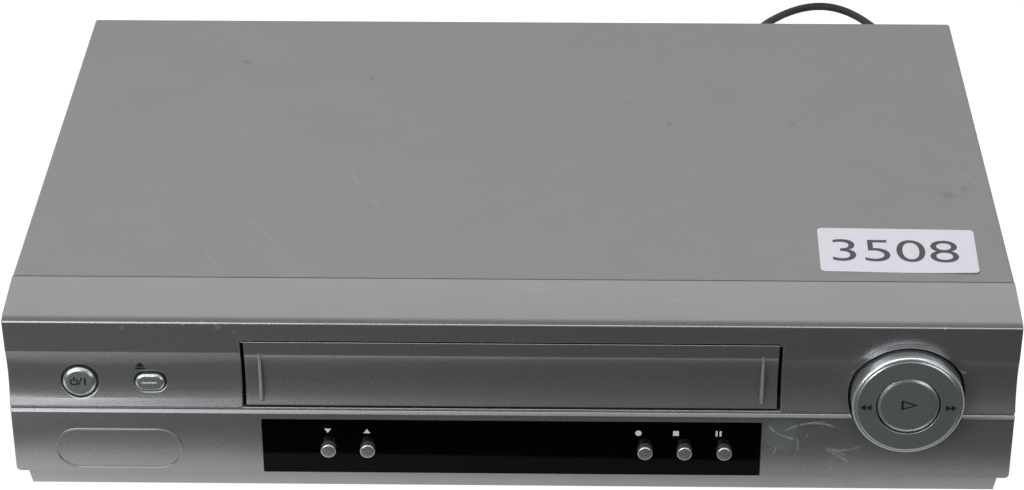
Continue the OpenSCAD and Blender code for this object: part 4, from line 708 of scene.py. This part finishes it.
def rounded(points, steps=5):
    """A profile of (across, back, radius) with each corner turned on its radius."""
    line = []
    for i, (across, back, radius) in enumerate(points):
        corner = Vector((across, back))
        if not radius:
            line.append((across, back))
            continue
        u = (Vector(points[i - 1][:2]) - corner).normalized()
        v = (Vector(points[(i + 1) % len(points)][:2]) - corner).normalized()
        half = u.angle(v) / 2
        centre = corner + (u + v).normalized() * radius / math.sin(half)
        start, end = (corner + side * radius / math.tan(half) - centre for side in (u, v))
        for k in range(steps + 1):
            line.append(tuple(centre + (start * (1 - k / steps) + end * k / steps).normalized() * radius))
    return line


def circle(r, sides):
    turns = [2 * math.pi * k / sides for k in range(sides)]
    return [(r * math.cos(t), r * math.sin(t)) for t in turns]


def turned(bm, profile, x, z, sides, around=False):
    """A profile of (radius, y) turned about a line along Y."""
    loft(bm, [[(x + a, y, z + b) for a, b in circle(r, sides)] for r, y in profile], around)


def pill_ring(w, h, x, y, z):
    """Points round a slot shape in the plane of the front."""
    r = h / 2
    ring = []
    for side, first in ((1, -90), (-1, 90)):
        for k in range(PILL_STEPS + 1):
            turn = math.radians(first + 180 * k / PILL_STEPS)
            ring.append((x + side * (w / 2 - r) + r * math.cos(turn), y, z + r * math.sin(turn)))
    return ring


def face_back(down):
    """How far the face lies behind the front edge at a height below the top."""
    for (d0, y0), (d1, y1) in zip(FACE, FACE[1:]):
        if d0 <= down <= d1:
            return y0 + (y1 - y0) * (down - d0) / (d1 - d0)
    return FACE[-1][1]


# The face from the seam with the cover down to the plinth: down from the top, back from the front edge
COVER_SEAM = 26.3
HOLLOW_R, HOLLOW_DOWN, HOLLOW_Y = 34.55, 28.4, -31.25
FACE = [(0, COVER_SEAM), (2.5, 2.8), (3.6, 0.35), (4.4, 0), (17.1, 1.3)]
FACE += [(d, HOLLOW_Y + math.sqrt(HOLLOW_R ** 2 - (d - HOLLOW_DOWN) ** 2)) for d in range(18, 39)]
FACE += [(39.7, 1.5), (41.7, 0.9), (42.4, 1.6), (50.1, 1.8), (59.1, 2.3), (68.1, 2.8)]

# Places of the controls on the front: across, and down from the top
STANDBY = (-154.4, 29.9)
EJECT = (-129.1, 29.9)
DIAL = (141, 33.3)
KEY_DOWN = 56.7
SMALL_KEYS = {"channel_down_key": -65.95, "channel_up_key": -51.85, "record_key": 48.15, "stop_key": 62.35,
              "pause_key": 76.65}
STEM_END = 10.95
STEM = [(2, STEM_END, 0.2), (0.4, STEM_END, 0)]
WELL_R = 20.8
STANDBY_HOLE_R = 6.7
EJECT_HOLE = (11.6, 8.0)
SLOT_HALF, SLOT_TOP, SLOT_LOW = 96.2, 11.4, 40.1
WINDOW_HALF, WINDOW_TOP = 89.75, 44.7
SIDE = 180
PLINTH_LOW, PLINTH_TOP = 9, 16.45

# The oval line low at the left: its middle, half its straight run, the radii of its two edges
OVAL_AT, OVAL_RUN, OVAL_RADII = (-142, 58), 14.4, (8.9, 8.0)

# How near a point has to be to count as on an edge, and how far back the rims of openings lie
NEAR = 0.06
CLOSE = 0.03
RIM_END = 6.2


def both(test):
    return lambda a, b: test(*a) and test(*b)


def near_circle(spot, r, y_end=RIM_END):
    def test(x, y, z):
        return y < y_end and abs(math.hypot(x - spot[0], z - (TOP - spot[1])) - r) < NEAR
    return both(test)


def near_pill(x, y, z):
    run = (EJECT_HOLE[0] - EJECT_HOLE[1]) / 2
    past = max(0, abs(x - EJECT[0]) - run)
    return y < RIM_END and abs(math.hypot(past, z - (TOP - EJECT[1])) - EJECT_HOLE[1] / 2) < NEAR


def on_slot_rim(x, y, z):
    down = TOP - z
    inside = abs(x) < SLOT_HALF + NEAR and SLOT_TOP - NEAR < down < SLOT_LOW + NEAR
    return inside and y < 4 and (abs(abs(x) - SLOT_HALF) < NEAR or abs(down - SLOT_LOW) < NEAR)


def on_side(x, y, z):
    return abs(abs(x) - SIDE) < CLOSE


def on_seam(x, y, z):
    return abs(y - COVER_SEAM) < CLOSE and abs(z - TOP) < CLOSE


def on_ridge(down, back):
    def test(x, y, z):
        return abs(TOP - z - down) < 0.04 and abs(y - back) < 0.04
    return both(test)


def on_oval(x, y, z):
    gap = math.hypot(max(0, abs(x - OVAL_AT[0]) - OVAL_RUN), z - (TOP - OVAL_AT[1]))
    return y < face_back(TOP - z) - 0.3 and min(abs(gap - r) for r in OVAL_RADII) < 0.08


def make_front_panel():
    dress("front_panel", [
        (0.25, 2, both(on_seam)), (0.22, 2, on_ridge(39.7, 1.5)), (0.22, 2, on_ridge(40.6, 1.5)),
        (0.28, 3, both(on_oval)),
        (0.6, 4, near_circle(STANDBY, STANDBY_HOLE_R)), (0.6, 4, both(near_pill)),
        (0.35, 3, near_circle(DIAL, WELL_R, 4.4)), (0.3, 3, both(on_slot_rim)), (0.3, 3, both(on_side)),
    ])


# The cassette flap, its two pins and its two grip ribs
FLAP_HALF, FLAP_TOP, FLAP_LOW, FLAP_THICK, FLAP_SOFT = 94.9, 11.95, 38.8, 1.8, 0.18
FLAP_PIN_R, FLAP_PIN_Y, FLAP_PIN_Z, FLAP_PIN_ENDS = 0.8, 2.4, 72.1, (91.9, 98.3)
RIB_LOW = 47.5
RIB_LEVELS = (RIB_LOW, 47.6, 47.85, 48.2, 48.7, 50, 52, 54, 56, 58, 60, 62, 64, 66, 67.5)
RIB_IN, RIB_OUT, RIB_FRONT = 89.5, 90.0, 1.15
RIB_WIDTH, RIB_TAPER, RIB_FOOT, RIB_NOSE = 0.9, 0.02, 1.2, 0.45


def flap_shell(bm):
    """The flap follows the face; its rim is turned in by FLAP_SOFT all round."""
    front = [(d, face_back(d)) for d in
             [FLAP_TOP] + [d for d, _ in FACE if FLAP_TOP < d < FLAP_LOW] + [FLAP_LOW]]
    line = [(d, y, FLAP_SOFT if d in (FLAP_TOP, FLAP_LOW) else 0) for d, y in front]
    profile = rounded(line + [(d, y + FLAP_THICK, 0) for d, y in front[::-1]], 3)
    front_count = len(profile) - len(front)
    rings = []
    for side, turns in ((-1, (90, 60, 30, 0)), (1, (0, 30, 60, 90))):
        for turn in turns:
            t = math.radians(turn)
            x = side * (FLAP_HALF - FLAP_SOFT + FLAP_SOFT * math.sin(t))
            sink = FLAP_SOFT * (1 - math.cos(t))
            rings.append([(x, y + (sink if i < front_count else 0), TOP - d)
                          for i, (d, y) in enumerate(profile)])
    loft(bm, rings)


def flap_rib(bm, side):
    """A grip rib, round in front, that narrows upwards and starts with a rounded foot."""
    rib = []
    for z in RIB_LEVELS:
        wing = RIB_WIDTH - RIB_TAPER * (z - RIB_LOW)
        left, right = (-RIB_OUT, -RIB_IN + wing) if side < 0 else (RIB_IN - wing, RIB_OUT)
        foot = max(0, 1 - (z - RIB_LOW) / RIB_FOOT)
        y = RIB_FRONT + 1 - math.sqrt(1 - foot ** 2)
        back = face_back(TOP - z) + 0.9
        mid, wide = (left + right) / 2, (right - left) / 2
        nose = [(mid - wide * math.cos(t), y + RIB_NOSE * (1 - math.sin(t)), z) for t in
                (math.pi * k / 10 for k in range(11))]
        rib.append([(left, back, z)] + nose + [(right, back, z)])
    loft(bm, rib)


def make_flap():
    bm = bmesh.new()
    flap_shell(bm)
    for side in (-1, 1):
        loft(bm, [[(side * x, FLAP_PIN_Y + a, FLAP_PIN_Z + b) for a, b in circle(FLAP_PIN_R, 24)]
                  for x in FLAP_PIN_ENDS])
        flap_rib(bm, side)
    stand_for(close_piece("flap_shell", bm), "cassette_flap")


def make_window():
    def rim(x, y, z):
        down = TOP - z
        return y < face_back(down) + 0.3 and (abs(abs(x) - WINDOW_HALF) < 0.9 or down < WINDOW_TOP + 0.9)
    dress("display_window", [(0.2, 2, both(rim))])


def make_case():
    def plinth_edge(x, y, z):
        return z < PLINTH_TOP and y < 12 and (abs(z - PLINTH_LOW) < CLOSE or abs(x) > SIDE - 10)
    dress("top_cover")
    dress("base_frame", [(0.3, 2, both(plinth_edge))])
    dress("rear_panel")
    dress("feet")


def turned_key(name, key, spot, profile, sides):
    """A key turned about a line through its place on the front, with the stem behind it."""
    bm = bmesh.new()
    turned(bm, rounded(profile), spot[0], TOP - spot[1], sides)
    stand_for(close_piece(name, bm), key)


def make_round_keys():
    for name, x in SMALL_KEYS.items():
        turned_key(name + "_cap", name, (x, KEY_DOWN), [
            (0.4, -0.85, 0), (2.75, -0.85, 0.55), (2.75, 5.2, 0), (3.65, 5.2, 0.15), (3.65, 6.4, 0.15),
            (1.2, 6.4, 0), (1.2, STEM_END, 0.2), (0.4, STEM_END, 0)], 72)
    turned_key("standby_cap", "standby_key", STANDBY, [
        (0.4, 1.7, 0), (4.8, 1.7, 0.6), (5.9, 2.35, 0.35), (5.9, 6.4, 0), (7.3, 6.4, 0.15),
        (7.3, 7.4, 0.15), (2, 7.4, 0)] + STEM, 128)


def make_eject_key():
    bm = bmesh.new()
    x, z = EJECT[0], TOP - EJECT[1]
    w, h = 10.4, 6.8
    middle = -h / 2 + 0.4
    profile = rounded([(middle, 1.8, 0), (-0.75, 1.8, 0.4), (0, 2.25, 0.3), (0, 6.4, 0), (1.2, 6.4, 0.15),
                       (1.2, 7.4, 0.15), (middle, 7.4, 0)])
    loft(bm, [pill_ring(w + 2 * grow, h + 2 * grow, x, y, z) for grow, y in profile])
    turned(bm, rounded([(0.4, 7.3, 0), (1.8, 7.3, 0), (1.8, STEM_END, 0.2), (0.4, STEM_END, 0)]), x, z, 48)
    stand_for(close_piece("eject_cap", bm), "eject_key")


def make_play_key():
    turned_key("play_cap", "play_key", DIAL, [
        (0.4, -4.4, 0), (9.8, -4.4, 0.8), (10.9, -4.03, 0.08), (10.9, 9.4, 0), (12.9, 9.4, 0.2),
        (12.9, 10.3, 0.2), (2, 10.3, 0)] + STEM, 160)


def make_dial():
    bm = bmesh.new()
    x, z = DIAL[0], TOP - DIAL[1]
    profile = rounded([
        (11.5, 8.6, 0), (11.5, -4.7, 0.1), (18.0, -4.7, 0.08), (18.5, -4.46, 0.08), (20, -4.25, 1.4),
        (20, 8.6, 0.2), (17.6, 8.6, 0.2), (17.6, -2.7, 0), (13.1, -2.7, 0), (13.1, 8.6, 0)])
    turned(bm, profile, x, z, 192, around=True)
    for side in (-1, 1):
        turned(bm, [(1.7, -2.8), (1.7, 11.2)], x + side * 15, z, 24)
        low, high = (18.6, 22.6) if side > 0 else (-22.6, -18.6)
        loft(bm, [[(x + a, 6.6 + b, z + level) for a, b in circle(1.2, 32)] for level in (low, high)])
    stand_for(close_piece("rocker_ring", bm), "rocker_dial")


# Printed marks: thin plates that follow what they lie on, at places across and down
PRINT_PROUD = 0.03


def print_ring(outline, surface, off):
    return [(x, surface(x, down) - off, TOP - down) for x, down in outline]


def plate(bm, outline, surface):
    loft(bm, [print_ring(outline, surface, off) for off in (PRINT_PROUD, -PRINT_PROUD)])


def hollow_plate(bm, outer, inner, surface):
    loft(bm, [print_ring(outer, surface, PRINT_PROUD), print_ring(outer, surface, -PRINT_PROUD),
              print_ring(inner, surface, -PRINT_PROUD), print_ring(inner, surface, PRINT_PROUD)], around=True)


def stroke(points, width):
    """The outline of a line of even width through the points."""
    left, right = [], []
    for i, p in enumerate(points):
        a, b = Vector(points[max(0, i - 1)]), Vector(points[min(len(points) - 1, i + 1)])
        side = (b - a).normalized().orthogonal() * width / 2
        left.append(tuple(Vector(p) + side))
        right.append(tuple(Vector(p) - side))
    return left + right[::-1]


def arc(x, down, r, start, end):
    turns = [math.radians(start + (end - start) * k / ARC_STEPS) for k in range(ARC_STEPS + 1)]
    return [(x + r * math.cos(t), down - r * math.sin(t)) for t in turns]


def triangle(x, down, w, h, way):
    """way is 0 for right, 1 for up, 2 for left, 3 for down."""
    turn = math.radians(90 * way)
    corners = [(w / 2, 0), (-w / 2, h / 2), (-w / 2, -h / 2)]
    return [(x + a * math.cos(turn) - b * math.sin(turn), down - a * math.sin(turn) - b * math.cos(turn))
            for a, b in corners]


def box_outline(x, down, w, h):
    return [(x + a * w / 2, down + b * h / 2) for a, b in ((-1, -1), (1, -1), (1, 1), (-1, 1))]


def marks_piece(name, outlines, surface, rides_with, finish_name):
    bm = bmesh.new()
    for outline in outlines:
        plate(bm, outline, surface)
    add_on(close_piece(name, bm), rides_with, finish_name)


def make_marks():
    def on_face(x, down):
        return face_back(down)

    def on_window(x, down):
        return face_back(down) + 0.2

    def level(y):
        return lambda x, down: y

    x, down = -132.4, 23.3
    marks_piece("eject_mark", [triangle(x, down - 0.5, 2.0, 3.4, 1), box_outline(x, down + 1.3, 3.4, 0.75)],
                on_face, "front_panel", "dark_print")
    row = 49.6
    marks_piece("window_marks", [
        triangle(-66.1, row, 1.9, 2.5, 3), triangle(-52.0, row, 1.9, 2.5, 1),
        arc(48.1 - 2.4, row, 1.15, 0, 348), box_outline(59.2, row, 2.1, 2.1),
        box_outline(73.8, row, 0.7, 2.3), box_outline(75.2, row, 0.7, 2.3),
    ], on_window, "display_window", "pale_print")
    x, down = -154.6, 29.4
    marks_piece("standby_mark", [
        stroke(arc(x - 1.6, down + 0.1, 1.25, 125, 415), 0.58),
        stroke([(x - 1.6, down - 1.8), (x - 1.6, down - 0.1)], 0.58),
        stroke([(x - 0.1, down + 1.6), (x + 1.2, down - 1.6)], 0.5),
        stroke([(x + 2.3, down - 1.5), (x + 2.3, down + 1.5)], 0.62),
    ], level(1.7), "standby_key", "dark_print")
    marks_piece("eject_line", [box_outline(-129.4, 29.8, 5.4, 0.5)], level(1.8), "eject_key", "pale_print")
    x, down = 141.3, 33.0
    bm = bmesh.new()
    hollow_plate(bm, triangle(x + 0.2, down, 6.0, 4.2, 0), triangle(x - 0.2, down, 3.6, 2.5, 0), level(-4.4))
    add_on(close_piece("play_mark", bm), "play_key", "dark_print")
    arrows = [triangle(middle + shift, 33.9, 2.0, 2.6, way) for middle, way in ((125.9, 2), (156.2, 0))
              for shift in (-1.0, 1.0)]
    marks_piece("ring_marks", arrows, level(-4.7), "rocker_dial", "dark_print")


# The number label on the cover: thin paper with one corner lifting
LABEL_CORNERS = [(111.1, 33.3), (168.1, 32.2), (169.3, 64.8), (111.9, 65.9)]
LABEL_T = 0.12
LABEL_LIFT = 0.35
LABEL_STEPS = (48, 24)
# Its corners are rounded over this share of its depth, by this share of its width
LABEL_ROUND = 0.021
LABEL_PULL = 0.01925
# Where the number starts on the label, and its share of the label's sides
NUMBER_ACROSS = (0.085, 0.80)
NUMBER_BACK = (0.24, 0.50)
NUMBER_PROUD = 0.02


def label_point(u, v, up):
    """A point of the label: u to the right, v to the back, up above the cover."""
    front = Vector(LABEL_CORNERS[0]).lerp(Vector(LABEL_CORNERS[1]), u)
    back = Vector(LABEL_CORNERS[3]).lerp(Vector(LABEL_CORNERS[2]), u)
    spot = front.lerp(back, v)
    lift = LABEL_LIFT * max(0, 1 - math.hypot((1 - u) * 2.2, v * 3.2)) ** 2
    wave = 0.10 * max(0, 1 - 4 * v) * (0.5 + 0.5 * math.sin(7 * u + 1))
    return (spot.x, spot.y, TOP + up + lift + wave)


def make_paper():
    across, along = LABEL_STEPS
    bm = bmesh.new()
    sheets = []
    for up in (LABEL_T, 0.0):
        sheet = []
        for j in range(along + 1):
            v = j / along
            near_end = max(0, LABEL_ROUND - min(v, 1 - v)) / LABEL_ROUND
            pull = LABEL_PULL * (1 - math.sqrt(max(0, 1 - near_end ** 2)))
            spots = [label_point(pull + i / across * (1 - 2 * pull), v, up) for i in range(across + 1)]
            sheet.append([bm.verts.new(place(*spot)) for spot in spots])
        sheets.append(sheet)
    top, under = sheets
    for j in range(along):
        for i in range(across):
            bm.faces.new((top[j][i], top[j][i + 1], top[j + 1][i + 1], top[j + 1][i]))
            bm.faces.new((under[j][i], under[j + 1][i], under[j + 1][i + 1], under[j][i + 1]))
    rims = [sheet[0] + [r[-1] for r in sheet[1:]] + sheet[-1][-2::-1] + [r[0] for r in sheet[-2:0:-1]]
            for sheet in sheets]
    for k in range(len(rims[0])):
        m = (k + 1) % len(rims[0])
        bm.faces.new((rims[0][k], rims[1][k], rims[1][m], rims[0][m]))
    add_on(close_piece("number_label", bm, 50), "top_cover", "label_paper")


def make_number():
    text = bpy.data.curves.new("label_number", "FONT")
    text.body = "3508"
    text.size = 1
    text.offset = -0.004
    text.extrude = 0.01
    text.align_x = "LEFT"
    mesh = plain_mesh(add_object("label_number_curve", text))
    xs = [v.co.x for v in mesh.vertices]
    ys = [v.co.y for v in mesh.vertices]
    bm = bmesh.new()
    bm.from_mesh(mesh)
    bmesh.ops.remove_doubles(bm, verts=bm.verts, dist=1e-5)
    for v in bm.verts:
        u = NUMBER_ACROSS[0] + NUMBER_ACROSS[1] * (v.co.x - min(xs)) / (max(xs) - min(xs))
        w = NUMBER_BACK[0] + NUMBER_BACK[1] * (v.co.y - min(ys)) / (max(ys) - min(ys))
        v.co = place(*label_point(u, w, LABEL_T + (NUMBER_PROUD if v.co.z > 0 else -NUMBER_PROUD)))
    add_on(close_piece("label_number", bm), "top_cover", "label_print")


# Screws: one tree makes every screw from its seat and the way that it points
SCREW = {"Head Radius": 2.6, "Head Height": 1.5, "Shank Radius": 1.3, "Shank Length": 2.8,
         "Cross Width": 0.55, "Cross Depth": 0.9}
SHANK_SUNK = 0.0003


def make_screw_tree():
    tree = bpy.data.node_groups.new("screws", "GeometryNodeTree")
    tree.interface.new_socket("Seats", in_out="INPUT", socket_type="NodeSocketGeometry")
    for label, value in SCREW.items():
        tree.interface.new_socket(label, in_out="INPUT", socket_type="NodeSocketFloat").default_value = value
    tree.interface.new_socket("Finish", in_out="INPUT", socket_type="NodeSocketMaterial")
    tree.interface.new_socket("Screws", in_out="OUTPUT", socket_type="NodeSocketGeometry")
    given = tree.nodes.new("NodeGroupInput").outputs
    out = tree.nodes.new("NodeGroupOutput").inputs
    head_r, head_h, shank_r, length, width, depth = (times(tree, given[label], MM) for label in SCREW)

    def xyz(x=None, y=None, z=None):
        return node(tree, "ShaderNodeCombineXYZ", in_0=x, in_1=y, in_2=z).outputs[0]

    def raised(made, z):
        return node(tree, "GeometryNodeTransform", in_Geometry=made.outputs["Mesh"],
                    in_Translation=xyz(z=z)).outputs[0]

    rim_h = times(tree, head_h, 0.45)
    rim = node(tree, "GeometryNodeMeshCylinder", in_Vertices=40, in_Radius=head_r, in_Depth=rim_h)
    crown = node(tree, "GeometryNodeMeshCone", in_Vertices=40, in_Radius_Top=times(tree, head_r, 0.62),
                 in_Radius_Bottom=times(tree, head_r, 0.985), in_Depth=times(tree, head_h, 0.55))
    shank = node(tree, "GeometryNodeMeshCylinder", in_Vertices=24, in_Radius=shank_r,
                 in_Depth=math_node(tree, "ADD", length, SHANK_SUNK))
    solid = node(tree, "GeometryNodeMeshBoolean", operation="UNION")
    for part in (raised(rim, times(tree, rim_h, 0.5)), raised(crown, times(tree, rim_h, 0.97)),
                 raised(shank, times(tree, minus(tree, SHANK_SUNK, length), 0.5))):
        join(tree, part, solid.inputs["Mesh 2"])
    cut = node(tree, "GeometryNodeMeshBoolean", operation="DIFFERENCE", in_Mesh_1=solid.outputs["Mesh"])
    across = times(tree, head_r, 1.15)
    deep = times(tree, depth, 2)
    for size in (xyz(across, width, deep), xyz(width, across, deep)):
        join(tree, raised(node(tree, "GeometryNodeMeshCube", in_Size=size), head_h), cut.inputs["Mesh 2"])
    merged = node(tree, "GeometryNodeMergeByDistance", in_Geometry=cut.outputs["Mesh"], in_Distance=2e-6)
    aim = node(tree, "GeometryNodeInputNamedAttribute", data_type="FLOAT_VECTOR", in_Name="aim")
    turn = node(tree, "FunctionNodeAlignRotationToVector", axis="Z", in_Vector=aim.outputs["Attribute"])
    put = node(tree, "GeometryNodeInstanceOnPoints", in_Points=given["Seats"], in_Instance=merged.outputs[0],
               in_Rotation=turn.outputs["Rotation"])
    real = node(tree, "GeometryNodeRealizeInstances", in_0=put.outputs[0])
    paint = node(tree, "GeometryNodeSetMaterial", in_Geometry=real.outputs[0], in_Material=given["Finish"])
    join(tree, paint.outputs[0], out["Screws"])
    return tree


def tree_result(name, mesh, tree, values):
    """The plain mesh that a geometry tree makes from a mesh."""
    obj = add_object(name + "_seats", mesh)
    work = obj.modifiers.new("tree", "NODES")
    work.node_group = tree
    for item in tree.interface.items_tree:
        if item.in_out == "INPUT" and item.name in values:
            work[item.identifier] = values[item.name]
    made = plain_mesh(obj)
    made.name = name
    return link_piece(name, made, 30)


def make_screws():
    tree = make_screw_tree()
    seats = {
        "cover_screws": [((s * SIDE, y, 25), (s, 0, 0)) for s in (-1, 1) for y in (60, 205)]
                        + [((x, 245, TOP - 6), (0, 1, 0)) for x in (-120, 0, 120)],
        "deck_screws": [((s * x, y, 22), (0, 0, 1)) for x, y in ((104.5, 48), (62, 216)) for s in (-1, 1)],
    }
    for name, rows in seats.items():
        mesh = bpy.data.meshes.new(name)
        mesh.from_pydata([place(*at) for at, _ in rows], [], [])
        aims = mesh.attributes.new("aim", "FLOAT_VECTOR", "POINT")
        for i, (_, aim) in enumerate(rows):
            aims.data[i].vector = aim
        screws = tree_result(name + "_cross", mesh, tree, {**SCREW, "Finish": finishes["screw_steel"]})
        stand_for(screws, name)


# Behind the deck: sockets, bushing, plug
REAR_Y = 244.2
PLUG_BODY, PLUG_HIGH = (286.8, 322.3), 14
JACKS = [(x, z) for x in (-112, -98) for z in (31, 45)]
JACK_COLOURS = ["socket_white", "socket_yellow", "socket_red", "socket_yellow"]


def behind(profile):
    """The profile with its distances counted from the rear panel."""
    return [(r, REAR_Y + back, *radius) for r, back, *radius in profile]


def socket_rings(name, spots, profile, finish_name):
    bm = bmesh.new()
    for x, z in spots:
        turned(bm, rounded(behind(profile), 3), x, z, 64, around=True)
    add_on(close_piece(name, bm), "av_sockets", finish_name)


def make_sockets():
    by_colour = {}
    for at, colour in zip(JACKS, JACK_COLOURS):
        by_colour.setdefault(colour, []).append(at)
    for colour, spots in by_colour.items():
        socket_rings(colour + "_inserts", spots, [
            (1.7, 7.8, 0), (3.5, 7.8, 0), (3.5, 8.54, 0.1), (1.7, 8.54, 0.1)], colour)
    socket_rings("socket_shells", JACKS, [
        (3.55, -2, 0), (4.55, -2, 0), (4.55, 0.45, 0.1), (4.25, 0.6, 0.1), (4.2, 8.58, 0.2),
        (3.55, 8.58, 0.1)], "zinc_steel")


def make_bushing():
    bm = bmesh.new()
    ribs = []
    first, last, count = 4.5, 22.5, 7
    step = (last - first) / count
    for k in range(count):
        back = first + step * k
        r = 3.9 - 1.1 * back / 24
        ribs += [(r, back), (r, back + step * 0.55), (r - 0.6, back + step * 0.62),
                 (r - 0.6, back + step * 0.95)]
    bore = CORD_R + 0.05
    profile = [(bore, -4.4), (5.2, -4.4), (5.2, -2.4), (3.6, -2.4), (3.6, 0), (5.0, 0), (5.2, 0.3),
               (5.2, 2.2), (4.9, 2.6), (3.9, 3.6)] + ribs + [(2.75, 23.2), (2.7, 24), (bore, 24)]
    turned(bm, behind(profile), CORD_EXIT[0], CORD_EXIT[2], 64, around=True)
    bushing = close_piece("bushing_boot", bm, 45)
    stand_for(bushing, "cord_bushing")
    return bushing


def make_plug():
    def body_edge(x, y, z):
        return PLUG_BODY[0] < y < PLUG_BODY[1] and (abs(z) < 0.05 or abs(z - PLUG_HIGH) < 0.05)
    return dress("mains_plug", [(1.1, 4, both(body_edge))])


make_front_panel()
make_flap()
make_window()
make_case()
make_round_keys()
make_eject_key()
make_play_key()
make_dial()
make_marks()
make_paper()
make_number()
make_screws()
make_sockets()
bushing = make_bushing()
plug = make_plug()
